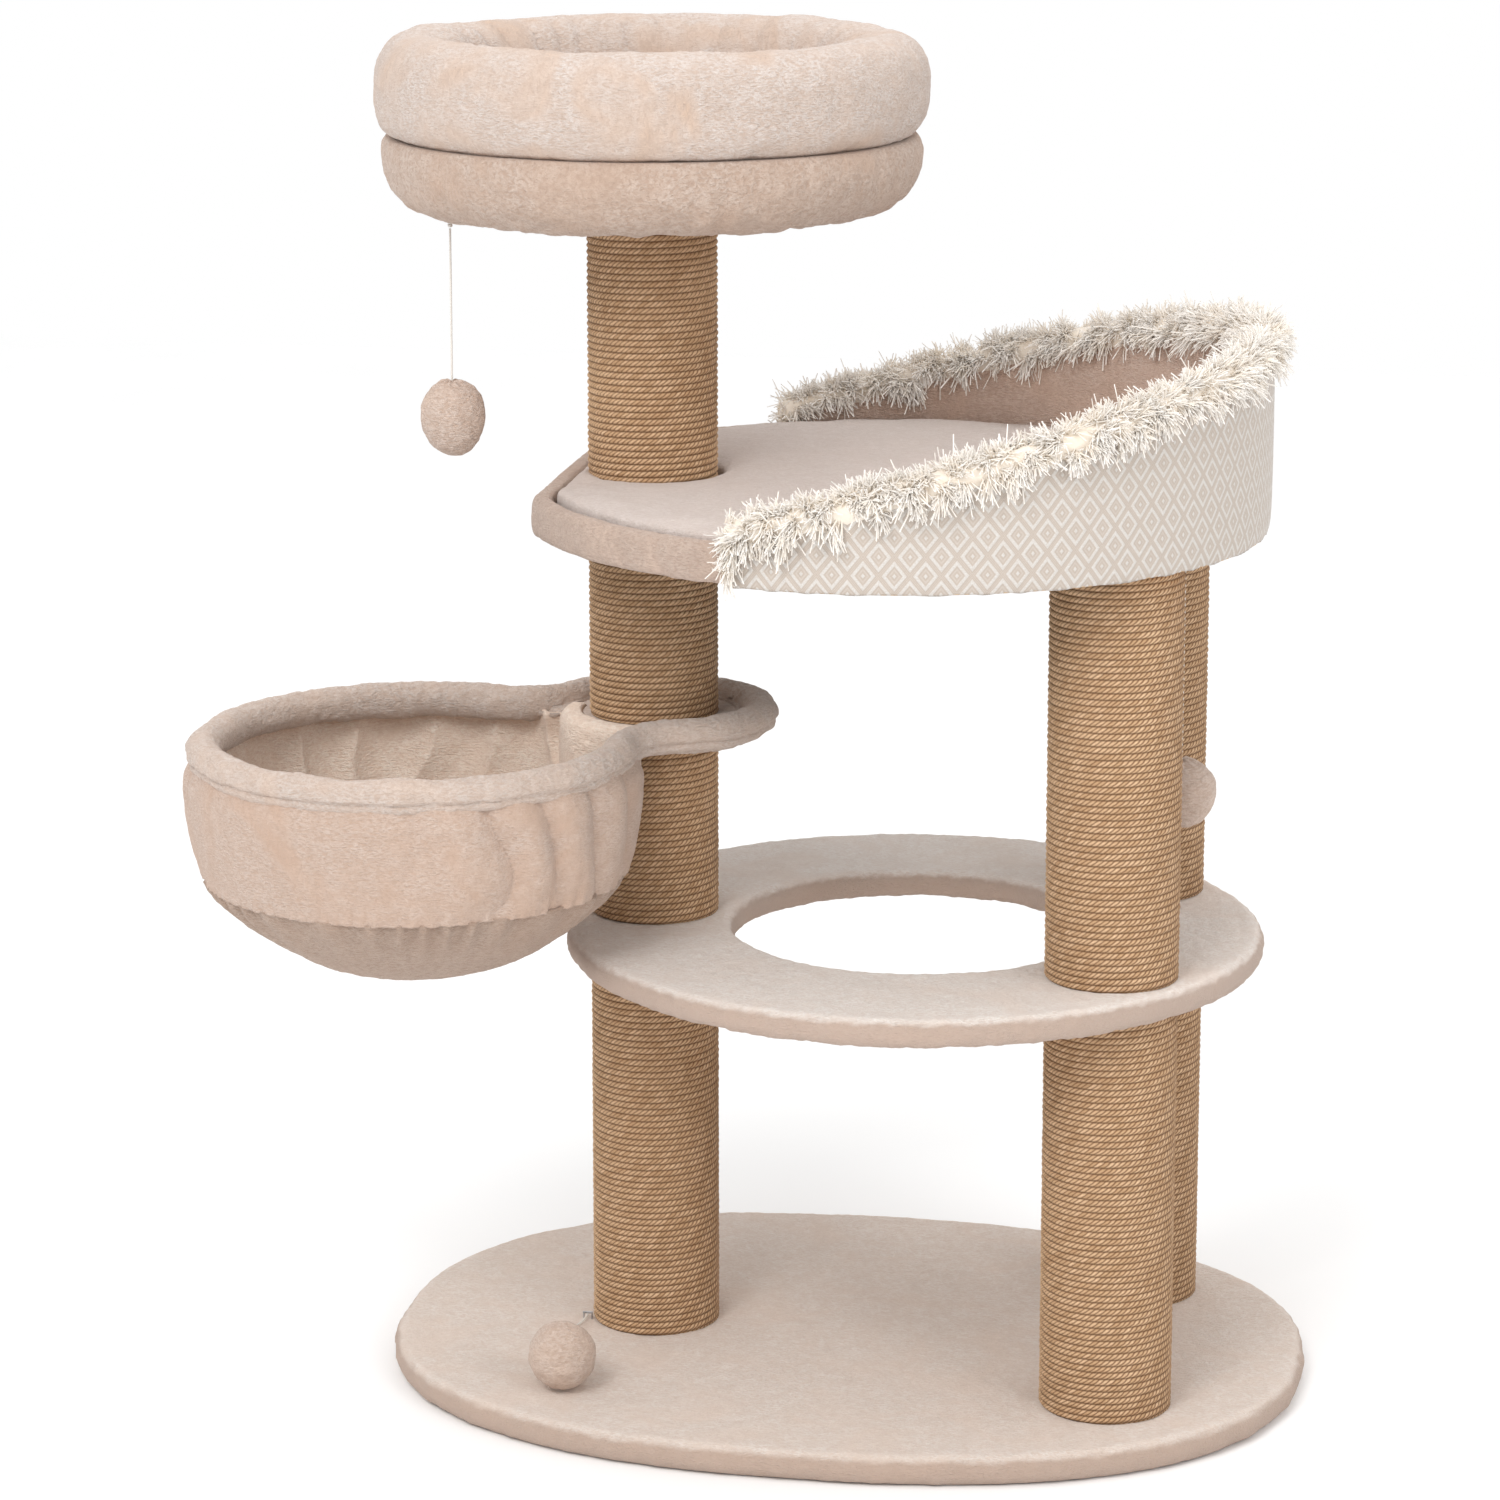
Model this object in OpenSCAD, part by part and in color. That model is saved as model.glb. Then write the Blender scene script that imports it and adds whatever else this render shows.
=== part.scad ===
// Cat tree: a rounded base, three rope-wrapped posts, a ring shelf, a hanging basket, a lounger with
// a sloping wall, a round bed on top and three plush balls on cords.
// The origin is the centre of the base's underside. +X runs from the tall left post towards the two
// right posts, +Y to the back and +Z up. All sizes are in millimetres.

/* [Base] */
// Length of the base plate along X
base_length = 860; // [800:5:920]
// Depth of the base plate along Y
base_depth = 645; // [600:5:700]
// Thickness of the base plate with its plush
base_thick = 28; // [24:1:34]
// Roundness of the base outline: 2 is an ellipse, higher is squarer
base_squareness = 2.34; // [2.1:0.02:2.8]

/* [Posts] */
// Diameter over the rope
post_d = 120; // [114:1:124]
// Thickness of the rope layer
rope_thick = 6; // [5:0.5:8]
// Wall of the cardboard tube
tube_wall = 5; // [4:0.5:7]
// Distance of the tall left post from the middle
left_post_x = 185; // [180:1:190]
// Distance of the right posts from the middle
right_post_x = 258; // [254:1:262]
// Half of the gap between the right posts' axes
right_post_y = 150; // [146:1:154]

/* [Ring shelf] */
// Height of the shelf's top
shelf_top = 430; // [400:5:450]
// Thickness of the shelf with its plush
shelf_thick = 27; // [24:1:30]
// Outer radius
shelf_radius = 323; // [318:1:330]
// Radius of the hole to climb through
shelf_hole_radius = 168; // [150:1:172]
// Centre of the ring along X
shelf_x = 61; // [57:1:65]

/* [Basket] */
// Height of the collar's top, where the upper post stands
collar_top = 620; // [600:5:640]
// Thickness of the collar
collar_thick = 23; // [22:1:26]
// Radius of the plush disc round the post
collar_radius = 82; // [78:1:82]
// Centreline radius of the rim tube round the basket
rim_radius = 188; // [180:1:194]
// Centreline radius of the rim tube round the post
rim_small_radius = 100; // [99:1:104]
// Radius of the plush tube itself
rim_tube_radius = 17; // [14:1:17]
// Distance from the post's axis to the basket's centre
basket_reach = 254; // [248:1:262]
// Compass direction of the basket from the post, in degrees
basket_angle = 222; // [215:1:228]
// Greatest radius of the hanging cloth
bowl_radius = 205; // [198:1:208]
// Height of the seam between the side band and the bottom panel
bowl_seam_z = 505; // [490:5:515]
// Lowest point of the sagging bottom panel
bowl_low_z = 410; // [400:5:430]

/* [Lounger] */
// Height of the lounger's underside
lounger_under = 808; // [790:2:820]
// Outer radius over the wall
lounger_radius = 341; // [335:1:345]
// Centre of the lounger along X
lounger_x = 41; // [38:1:44]
// Distance from the lounger's centre to its straight entrance edge
lounger_chord = 315; // [312:1:318]
// Half of the angle that the wall covers
wall_half_angle = 112; // [100:1:114]
// Turn of the wall about the lounger's centre
wall_turn = 5; // [0:1:6]
// Height of the wall's sloping top edge at the lounger's centre
wall_mid_z = 890; // [880:1:895]
// Slope of the wall's top edge, in degrees
wall_slope = 15.3; // [12:0.1:16]
// Thickness of the wall's stiff core
wall_core = 16; // [12:1:18]
// Thickness of the seat pad
pad_thick = 22; // [16:1:26]

/* [Bed] */
// Height of the bed's underside
bed_under = 1090; // [1070:5:1110]
// Height of the bed's lower band, up to the seam
bed_band = 68; // [60:1:74]
// Radius of the bed at the seam
bed_seam_radius = 247; // [240:1:252]
// Height of the bolster above the seam
bolster_height = 96; // [90:1:104]
// Radius of the bolster's middle ring
bolster_ring_radius = 211; // [208:1:214]
// Half width of the bolster
bolster_half_width = 46; // [42:1:48]

/* [Toys] */
// Diameter of the toys' cords
cord_d = 2; // [2:0.2:2.4]
// Radius of the ball under the bed
high_ball_radius = 31; // [28:1:34]
// Half height of the ball under the bed
high_ball_half_height = 37; // [32:1:38]
// Radius of the ball under the lounger
low_ball_radius = 34; // [30:1:36]
// Radius of the ball that lies on the base
floor_ball_radius = 32; // [28:1:32]

/* [Hidden] */
$fn = 96;

// Colours
plush = [0.86, 0.77, 0.68];
jute = [0.67, 0.50, 0.33];
board_wood = [0.72, 0.58, 0.42];
card = [0.62, 0.50, 0.38];
steel = [0.70, 0.71, 0.73];
felt = [0.20, 0.20, 0.21];
woven = [0.83, 0.77, 0.70];
cream = [0.95, 0.92, 0.85];
white = [0.95, 0.95, 0.94];

// Cloth, boards and fasteners
cloth = 3;
edge_wrap = 8;
lounger_board_thick = 15;
bolt_r = 5;
bolt_hole_r = 5.5;
washer_r = 13;
washer_thick = 2;
head_r = 8.5;
head_height = 6;
recess_r = 14;
plug_thick = 16;
insert_r = 7;
thread_gap = 0.05;
stud_reach = 18;
move_gap = 0.3;
big = 2000;

// Posts: axis positions and the stacked segments of each
left_post = [-left_post_x, 0];
front_post = [right_post_x, -right_post_y];
back_post = [right_post_x, right_post_y];
tube_r = post_d / 2 - rope_thick;
bore_r = tube_r - tube_wall;
shelf_under = shelf_top - shelf_thick;
collar_under = collar_top - collar_thick;
lounger_board_low = lounger_under + cloth;
seat_z = lounger_board_low + lounger_board_thick;
left_spans = [[base_thick, shelf_under], [shelf_top, collar_under], [collar_top, lounger_under],
              [seat_z, bed_under]];
right_spans = [[base_thick, shelf_under], [shelf_top, lounger_under]];

// Base
board_low = cloth;
board_high = base_thick - cloth;
return_width = 42;
recess_top = board_low + head_height + washer_thick + 1;

// Basket: arcs of the peanut-shaped rim in the basket's own frame, whose +X points away from the post
rim_z = collar_top - 2;
waist_radius = 60;
waist_to_post = rim_small_radius + waist_radius;
waist_to_basket = rim_radius + waist_radius;
waist_x = (pow(waist_to_post, 2) - pow(waist_to_basket, 2) + pow(basket_reach, 2)) / (2 * basket_reach);
waist_y = sqrt(pow(waist_to_post, 2) - pow(waist_x, 2));
small_start = atan2(waist_y, waist_x);
big_half = atan2(waist_y, waist_x - basket_reach);
basket_side = atan2(-waist_y, basket_reach - waist_x);
post_side = atan2(-waist_y, -waist_x);
wire_r = 4;
spider_thick = 3;
arm_width = 30;
spider_z = collar_top - cloth - 1 - spider_thick;
bowl_cloth = 4;
bowl_top_z = rim_z - 12;
bowl_clear = collar_radius + 2;

// Lounger
lip_width = 21;
board_radius = lounger_radius - lip_width - 1;
board_chord = lounger_chord - 18;
lip_top = seat_z + 19;
lining = 3;
core_out = lounger_radius - cloth;
core_in = core_out - wall_core;
lining_in = core_in - lining;
fringe_out = 8;
fringe_up = 24;
fringe_down = 34;

// Bed
bed_board_radius = 205;
bed_seam_z = bed_under + bed_band;
bolster_squareness = 2.6;
bolster_half_height = bolster_height * 0.5625;
bolster_mid_z = bed_seam_z + bolster_height - bolster_half_height;
cushion_radius = bolster_ring_radius - bolster_half_width - 3;
cushion_thick = 26;
bed_board_low = bed_under + cloth;
bed_board_thick = 15;

// Toys: anchors, knots and the cords' lengths and route
staple_leg = 6;
staple_wire_r = 0.8;
knot_r = 2.5;
knot_drop = staple_leg + staple_wire_r + move_gap + knot_r;
cord_drop = knot_drop + knot_r + move_gap;
ball_sink = 0.4;
high_anchor = [-355, -80];
high_cord_length = 134;
high_cord_top = bed_under - cord_drop;
low_anchor = [306, 0];
low_cord_length = 198;
low_cord_top = lounger_under - cord_drop;
floor_anchor = [-247, -27];
floor_ball = [-234, -203];
floor_route = [
    [-247, -26, 33], [-247.5, -31, 32], [-249, -36, 30.5], [-251, -42, 29.5], [-253, -48, 29.5],
    [-255, -54, 29.5], [-256, -61, 29.5], [-257, -68, 29.5], [-257, -75, 29.5], [-256, -82, 29.5],
    [-254, -89, 29.5], [-251, -96, 29.5], [-248, -102, 29.5], [-244, -108, 29.5],
    [-240, -114, 29.5], [-236, -120, 29.5], [-233, -127, 29.5], [-231, -134, 29.5],
    [-230, -141, 29.5], [-230, -148, 29.5], [-231, -155, 30], [-232, -161, 32], [-233, -166, 35],
    [-233.5, -170, 39], [-234, -173, 43]
];

// ---------- helpers ----------

// Points of a superellipse with half axes a and b
function superellipse(a, b, n, steps = 72) = [
    for (i = [0 : steps - 1])
        let (t = 360 * i / steps)
        [a * sign(cos(t)) * pow(abs(cos(t)), 2 / n), b * sign(sin(t)) * pow(abs(sin(t)), 2 / n)]
];

// A straight hanging cord's points, one for every 2.5 diameters
function hanging_route(at, top, length) =
    let (steps = ceil(length / (2.5 * cord_d)))
    [for (i = [0 : steps]) [at[0], at[1], top - length * i / steps]];

// Unit direction of the route at point i
function heading(route, i) =
    let (a = route[max(i - 1, 0)], b = route[min(i + 1, len(route) - 1)])
    (b - a) / norm(b - a);

// One ring of a swept tube, square to the route at point i
function ring(route, i, r, sides) =
    let (d = heading(route, i), side = abs(d[2]) > 0.9 ? [1, 0, 0] : [0, 0, 1],
         u = cross(side, d) / norm(cross(side, d)), v = cross(d, u))
    [for (k = [0 : sides - 1]) route[i] + r * (cos(360 * k / sides) * u + sin(360 * k / sides) * v)];

// A round tube swept along the route's own points
module sweep(route, r, sides = 8) {
    rings = len(route);
    points = [for (i = [0 : rings - 1]) each ring(route, i, r, sides)];
    walls = [for (i = [0 : rings - 2], k = [0 : sides - 1])
        let (a = i * sides + k, b = i * sides + (k + 1) % sides)
        [a, a + sides, b + sides, b]];
    first = [for (k = [0 : sides - 1]) k];
    last = [for (k = [sides - 1 : -1 : 0]) (rings - 1) * sides + k];
    polyhedron(points = points, faces = concat([first], walls, [last]), convexity = 4);
}

// A round tube swept along a flat closed route
module sweep_loop(route, r, sides) {
    rings = len(route);
    closed = concat([route[rings - 1]], route, [route[0]]);
    points = [for (i = [1 : rings]) each ring(closed, i, r, sides)];
    walls = [for (i = [0 : rings - 1], k = [0 : sides - 1])
        let (a = i * sides, b = (i + 1) % rings * sides, next = (k + 1) % sides)
        [a + k, b + k, b + next, a + next]];
    polyhedron(points = points, faces = walls, convexity = 6);
}

module at(place, z = 0) translate([place[0], place[1], z]) children();

module pipe(outer, inner, low, high) {
    translate([0, 0, low]) difference() {
        cylinder(r = outer, h = high - low);
        translate([0, 0, -1]) cylinder(r = inner, h = high - low + 2);
    }
}

// A flat plate with the base's outline, drawn in by inset
module base_plate(inset, low, high) {
    translate([0, 0, low]) linear_extrude(high - low)
        polygon(superellipse(base_length / 2 - inset, base_depth / 2 - inset, base_squareness));
}

module at_each_post() {
    for (place = [left_post, front_post, back_post]) at(place) children();
}

// ---------- base ----------

module base_board() {
    color(board_wood) difference() {
        base_plate(edge_wrap, board_low, board_high);
        at_each_post() {
            cylinder(r = bolt_hole_r, h = big);
            cylinder(r = recess_r, h = recess_top);
        }
    }
}

module base_cover() {
    color(plush) difference() {
        base_plate(0, 0, base_thick);
        base_plate(edge_wrap, board_low, board_high);
        base_plate(return_width, -1, board_low + 1);
        at_each_post() cylinder(r = bolt_hole_r, h = big);
    }
}

module base_underlay() {
    color(felt) difference() {
        base_plate(return_width, 0, board_low);
        at_each_post() translate([0, 0, -1]) cylinder(r = recess_r, h = board_low + 2);
    }
}

module base_bolts() {
    head_low = recess_top - washer_thick - head_height;
    color(steel) at_each_post() {
        translate([0, 0, head_low]) cylinder(r = head_r, h = head_height, $fn = 6);
        translate([0, 0, head_low]) cylinder(r = bolt_r, h = base_thick + plug_thick - head_low);
    }
}

module base_washers() {
    color(steel) at_each_post() pipe(washer_r, bolt_hole_r, recess_top - washer_thick, recess_top);
}

// ---------- posts ----------

module post_tube(place, span) {
    color(card) at(place) pipe(tube_r, bore_r, span[0], span[1]);
}

module post_rope(place, span) {
    color(jute) at(place) pipe(post_d / 2, tube_r, span[0], span[1]);
}

// The lower ends of the wooden plugs in a post's segments
function plug_levels(spans) = [for (span = spans) each [span[0], span[1] - plug_thick]];

module post_plugs(place, spans) {
    color(board_wood) at(place) for (low = plug_levels(spans)) {
        pipe(bore_r, insert_r, low, low + plug_thick);
    }
}

module post_inserts(place, spans) {
    color(steel) at(place) for (low = plug_levels(spans)) {
        pipe(insert_r, bolt_r + thread_gap, low, low + plug_thick);
    }
}

// A stud from the plug below a board into the plug above it
module stud(place, low, high) {
    color(steel) at(place, low - stud_reach) cylinder(r = bolt_r, h = high - low + 2 * stud_reach);
}

module left_tube_1() post_tube(left_post, left_spans[0]);
module left_tube_2() post_tube(left_post, left_spans[1]);
module left_tube_3() post_tube(left_post, left_spans[2]);
module left_tube_4() post_tube(left_post, left_spans[3]);
module front_tube_1() post_tube(front_post, right_spans[0]);
module front_tube_2() post_tube(front_post, right_spans[1]);
module back_tube_1() post_tube(back_post, right_spans[0]);
module back_tube_2() post_tube(back_post, right_spans[1]);
module left_rope_1() post_rope(left_post, left_spans[0]);
module left_rope_2() post_rope(left_post, left_spans[1]);
module left_rope_3() post_rope(left_post, left_spans[2]);
module left_rope_4() post_rope(left_post, left_spans[3]);
module front_rope_1() post_rope(front_post, right_spans[0]);
module front_rope_2() post_rope(front_post, right_spans[1]);
module back_rope_1() post_rope(back_post, right_spans[0]);
module back_rope_2() post_rope(back_post, right_spans[1]);
module left_plugs() post_plugs(left_post, left_spans);
module front_plugs() post_plugs(front_post, right_spans);
module back_plugs() post_plugs(back_post, right_spans);

module plug_inserts() {
    post_inserts(left_post, left_spans);
    post_inserts(front_post, right_spans);
    post_inserts(back_post, right_spans);
}

module joining_studs() {
    for (place = [left_post, front_post, back_post]) stud(place, shelf_under, shelf_top);
    stud(left_post, collar_under, collar_top);
    stud(left_post, lounger_under, seat_z);
}

// ---------- ring shelf ----------

module shelf_ring(inset, low, high) {
    difference() {
        at([shelf_x, 0]) pipe(shelf_radius - inset, shelf_hole_radius + inset, low, high);
        at_each_post() cylinder(r = bolt_hole_r, h = big);
    }
}

module shelf_board() {
    color(board_wood) shelf_ring(edge_wrap, shelf_under + cloth, shelf_top - cloth);
}

module shelf_cover() {
    color(plush) difference() {
        shelf_ring(0, shelf_under, shelf_top);
        at([shelf_x, 0]) pipe(shelf_radius - edge_wrap, shelf_hole_radius + edge_wrap,
                              shelf_under + cloth, shelf_top - cloth);
    }
}

// ---------- basket ----------

module in_basket_frame() {
    at(left_post) rotate([0, 0, basket_angle]) children();
}

// Points along an arc about the point at x, y, without its last point
function arc(x, y, radius, start, end, steps) = [
    for (i = [0 : steps - 1]) let (t = start + (end - start) * i / steps)
    [x + radius * cos(t), y + radius * sin(t), rim_z]
];

// The closed peanut-shaped line round the basket and the post
rim_route = concat(
    arc(basket_reach, 0, rim_radius, -big_half, big_half, 36),
    arc(waist_x, waist_y, waist_radius, basket_side, post_side, 7),
    arc(0, 0, rim_small_radius, small_start, 360 - small_start, 22),
    arc(waist_x, -waist_y, waist_radius, -post_side, -basket_side, 7)
);

module rim_loop(r, sides) sweep_loop(rim_route, r, sides);

// The flat steel disc and arms that carry the wire
module spider() {
    arm = rim_small_radius;
    translate([0, 0, spider_z]) cylinder(r = collar_radius - 4, h = spider_thick);
    translate([-arm_width / 2, -arm, spider_z]) cube([arm_width, 2 * arm, spider_thick]);
    translate([-arm, -arm_width / 2, spider_z]) cube([arm, arm_width, spider_thick]);
}

module collar_board() {
    color(board_wood) at(left_post) pipe(collar_radius - 4, bolt_hole_r, collar_under + cloth, spider_z);
}

module collar_cover() {
    color(plush) difference() {
        at(left_post) pipe(collar_radius, bolt_hole_r, collar_under, collar_top);
        at(left_post, collar_under + cloth)
            cylinder(r = collar_radius - 4, h = spider_z - collar_under - cloth);
        in_basket_frame() spider();
    }
}

module basket_frame() {
    color(steel) in_basket_frame() difference() {
        union() {
            rim_loop(wire_r, 8);
            spider();
        }
        cylinder(r = bolt_hole_r, h = big);
    }
}

module basket_rim() {
    color(plush) in_basket_frame() difference() {
        rim_loop(rim_tube_radius, 14);
        rim_loop(wire_r, 8);
        spider();
    }
}

// The cloth body, drawn in by inset: a bulging side band on a sagging, dome-shaped bottom
module bowl_body(inset) {
    sag = bowl_seam_z - bowl_low_z;
    seam_radius = bowl_radius - 7;
    dome = (pow(seam_radius, 2) + pow(sag, 2)) / (2 * sag);
    seam_angle = asin(seam_radius / dome);
    bottom = [for (i = [0 : 10]) let (a = seam_angle * i / 10)
        [(dome - inset) * sin(a), bowl_low_z + dome - (dome - inset) * cos(a)]];
    side = [[bowl_radius - inset, bowl_seam_z + 22], [bowl_radius - inset, bowl_seam_z + 45],
            [bowl_radius - 8 - inset, bowl_top_z + inset / 2]];
    difference() {
        translate([basket_reach, 0, 0]) rotate_extrude()
            polygon(concat(bottom, side, [[0, bowl_top_z + inset / 2]]));
        cylinder(r = bowl_clear + inset, h = big);
    }
}

// The cloth shell between two heights
module bowl_shell(low, high) {
    in_basket_frame() intersection() {
        difference() {
            bowl_body(0);
            bowl_body(bowl_cloth);
        }
        translate([-big / 2, -big / 2, low]) cube([big, big, high - low]);
    }
}

module basket_side() {
    color(plush) bowl_shell(bowl_seam_z, rim_z);
}

module basket_bottom() {
    color(plush) bowl_shell(0, bowl_seam_z);
}

// ---------- lounger ----------

// A disc about the lounger's centre with the straight entrance edge cut off
module lounger_disc(r, chord, low, high) {
    intersection() {
        at([lounger_x, 0], low) cylinder(r = r, h = high - low);
        translate([lounger_x - chord, -big / 2, low - 1]) cube([big, big, high - low + 2]);
    }
}

// The sector of a ring that the wall fills
module wall_sector(outer, inner, low, half_angle = wall_half_angle) {
    at([lounger_x, 0], low) rotate([0, 0, wall_turn - half_angle]) rotate_extrude(angle = 2 * half_angle)
        translate([inner, 0]) square([outer - inner, 300]);
}

// Everything above the wall's sloping top edge, raised by lift
module above_slope(lift = 0) {
    at([lounger_x, 0], wall_mid_z + lift) rotate([0, 0, wall_turn]) rotate([0, -wall_slope, 0])
        translate([-big / 2, -big / 2, 0]) cube([big, big, big]);
}

module stud_holes() {
    at_each_post() translate([0, 0, lounger_under - 1])
        cylinder(r = bolt_hole_r, h = seat_z - lounger_under + 2);
}

module lounger_board() {
    color(board_wood) difference() {
        lounger_disc(board_radius, board_chord, lounger_board_low, seat_z);
        stud_holes();
    }
}

module lounger_underlay() {
    color(felt) difference() {
        lounger_disc(board_radius, board_chord, lounger_under, lounger_board_low);
        stud_holes();
    }
}

// The padded plush edge across the entrance
module lounger_lip() {
    color(plush) difference() {
        lounger_disc(lounger_radius, lounger_chord, lounger_under, lip_top);
        lounger_disc(board_radius, board_chord, lounger_under - 1, lip_top + 1);
        wall_sector(lounger_radius + 1, 0, lounger_under - 1, wall_half_angle + 0.05);
    }
}

module lounger_pad() {
    color(plush) difference() {
        lounger_disc(lining_in - 1, board_chord, seat_z, seat_z + pad_thick);
        at(left_post) cylinder(r = post_d / 2 + 1, h = big);
        for (place = [front_post, back_post]) at(place, seat_z - 1) cylinder(r = washer_r + 2, h = 10);
    }
}

module lounger_wall() {
    color(board_wood) difference() {
        wall_sector(core_out, core_in, lounger_under);
        above_slope();
    }
}

module lounger_outer_cloth() {
    color(woven) difference() {
        wall_sector(lounger_radius, core_out, lounger_under);
        above_slope();
    }
}

module lounger_lining() {
    color(plush) difference() {
        wall_sector(core_in, lining_in, seat_z);
        above_slope();
    }
}

// The shaggy strip that folds over the wall's top edge
module lounger_fringe() {
    color(cream) difference() {
        wall_sector(lounger_radius + fringe_out, lining_in - fringe_out, seat_z);
        above_slope(fringe_up);
        difference() {
            wall_sector(lounger_radius, lining_in, lounger_under, wall_half_angle + 1);
            above_slope();
        }
        difference() {
            at([lounger_x, 0]) cylinder(r = 2 * lounger_radius, h = big);
            above_slope(-fringe_down);
        }
        at([lounger_x, 0]) cylinder(r = lining_in + 1, h = seat_z + pad_thick + move_gap);
    }
}

// Bolts down through the lounger board into the right posts
module lounger_bolts() {
    shank_low = lounger_under - plug_thick;
    color(steel) for (place = [front_post, back_post]) {
        at(place, shank_low) cylinder(r = bolt_r, h = seat_z - shank_low);
        at(place, seat_z) cylinder(r = washer_r, h = washer_thick);
        at(place, seat_z + washer_thick) cylinder(r = head_r, h = head_height, $fn = 6);
    }
}

// ---------- bed ----------

module bed_board() {
    color(board_wood) at(left_post) {
        pipe(bed_board_radius, bolt_hole_r, bed_board_low, bed_board_low + bed_board_thick);
    }
}

// The padded lower band, open underneath only for the bolt
module bed_base() {
    edge = bed_seam_radius - bed_board_radius;
    curve = [for (i = [0 : 8]) let (a = 90 * i / 8)
        [bed_board_radius + (edge + 1) * sin(a), bed_under + (bed_band - 14) * (1 - cos(a))]];
    bolt_room = 30;
    color(plush) at(left_post) difference() {
        rotate_extrude() polygon(concat([[bolt_hole_r, bed_under]], curve,
            [[bed_seam_radius, bed_seam_z], [0, bed_seam_z], [0, bed_seam_z - bolt_room],
             [bolt_hole_r, bed_seam_z - bolt_room]]));
        pipe(bed_board_radius, 0, bed_board_low, bed_board_low + bed_board_thick);
        translate([0, 0, bed_board_low]) cylinder(r = washer_r + 1, h = bed_board_thick + 12);
    }
}

// The stuffed ring round the bed
module bed_bolster() {
    profile = [for (point = superellipse(bolster_half_width, bolster_half_height, bolster_squareness, 48))
        point + [bolster_ring_radius, bolster_mid_z]];
    color(plush) at(left_post) rotate_extrude() intersection() {
        polygon(profile);
        translate([0, bed_seam_z]) square([big, bolster_height + 1]);
    }
}

module bed_cushion() {
    color(plush) at(left_post, bed_seam_z + move_gap) {
        cylinder(r = cushion_radius - 6, h = cushion_thick);
        translate([0, 0, 5]) cylinder(r = cushion_radius, h = cushion_thick - 10);
    }
}

module bed_bolt() {
    board_top = bed_board_low + bed_board_thick;
    color(steel) at(left_post) {
        translate([0, 0, bed_under - plug_thick])
            cylinder(r = bolt_r, h = board_top - bed_under + plug_thick);
        translate([0, 0, board_top]) cylinder(r = washer_r, h = washer_thick);
        translate([0, 0, board_top + washer_thick]) cylinder(r = head_r, h = head_height, $fn = 6);
    }
}

// ---------- toys ----------

// A wire staple that stands out of a board; side -1 hangs it below, 1 stands it on top
module staple(place, z, side) {
    gap = 4;
    wire = staple_wire_r;
    at(place, z) {
        for (x = [-gap, gap]) {
            translate([x, 0, side < 0 ? -staple_leg : 0]) cylinder(r = wire, h = staple_leg, $fn = 16);
        }
        translate([-gap - wire, -wire, side * staple_leg - wire])
            cube([2 * (gap + wire), 2 * wire, 2 * wire]);
    }
}

module toy_staples() {
    color(steel) {
        staple(high_anchor, bed_under, -1);
        staple(low_anchor, lounger_under, -1);
        staple(floor_anchor + [0, 3], base_thick, 1);
    }
}

module knot(place, z) {
    color(white) at(place, z) sphere(r = knot_r, $fn = 32);
}

module high_toy_knot() knot(high_anchor, bed_under - knot_drop);
module low_toy_knot() knot(low_anchor, lounger_under - knot_drop);

module high_toy_cord() {
    color(white) sweep(hanging_route(high_anchor, high_cord_top, high_cord_length), cord_d / 2);
}

module low_toy_cord() {
    color(white) sweep(hanging_route(low_anchor, low_cord_top, low_cord_length), cord_d / 2);
}

module floor_toy_cord() {
    color(white) sweep(floor_route, cord_d / 2);
}

// A stuffed ball, taller than it is wide
module high_toy_ball() {
    centre = high_cord_top - high_cord_length - high_ball_half_height + ball_sink;
    half = [for (i = [0 : 24]) let (a = -90 + 180 * i / 24)
        [high_ball_radius * cos(a), high_ball_half_height * sin(a)]];
    color(plush) at(high_anchor, centre) rotate_extrude() polygon(half);
}

module low_toy_ball() {
    centre = low_cord_top - low_cord_length - low_ball_radius + ball_sink;
    color(plush) at(low_anchor, centre) sphere(r = low_ball_radius);
}

module floor_toy_ball() {
    color(plush) at(floor_ball, base_thick + move_gap + floor_ball_radius) sphere(r = floor_ball_radius);
}

// ---------- what is drawn ----------

base_board();
base_cover();
base_underlay();
base_bolts();
base_washers();
left_tube_1();
left_tube_2();
left_tube_3();
left_tube_4();
front_tube_1();
front_tube_2();
back_tube_1();
back_tube_2();
left_rope_1();
left_rope_2();
left_rope_3();
left_rope_4();
front_rope_1();
front_rope_2();
back_rope_1();
back_rope_2();
left_plugs();
front_plugs();
back_plugs();
plug_inserts();
joining_studs();
shelf_board();
shelf_cover();
collar_board();
collar_cover();
basket_frame();
basket_rim();
basket_side();
basket_bottom();
lounger_board();
lounger_underlay();
lounger_lip();
lounger_pad();
lounger_wall();
lounger_outer_cloth();
lounger_lining();
lounger_fringe();
lounger_bolts();
bed_board();
bed_base();
bed_bolster();
bed_cushion();
bed_bolt();
toy_staples();
high_toy_knot();
high_toy_cord();
high_toy_ball();
low_toy_knot();
low_toy_cord();
low_toy_ball();
floor_toy_cord();
floor_toy_ball();
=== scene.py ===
"""Looks of a cat tree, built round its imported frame. Metres, in the frame's own coordinates."""

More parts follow.
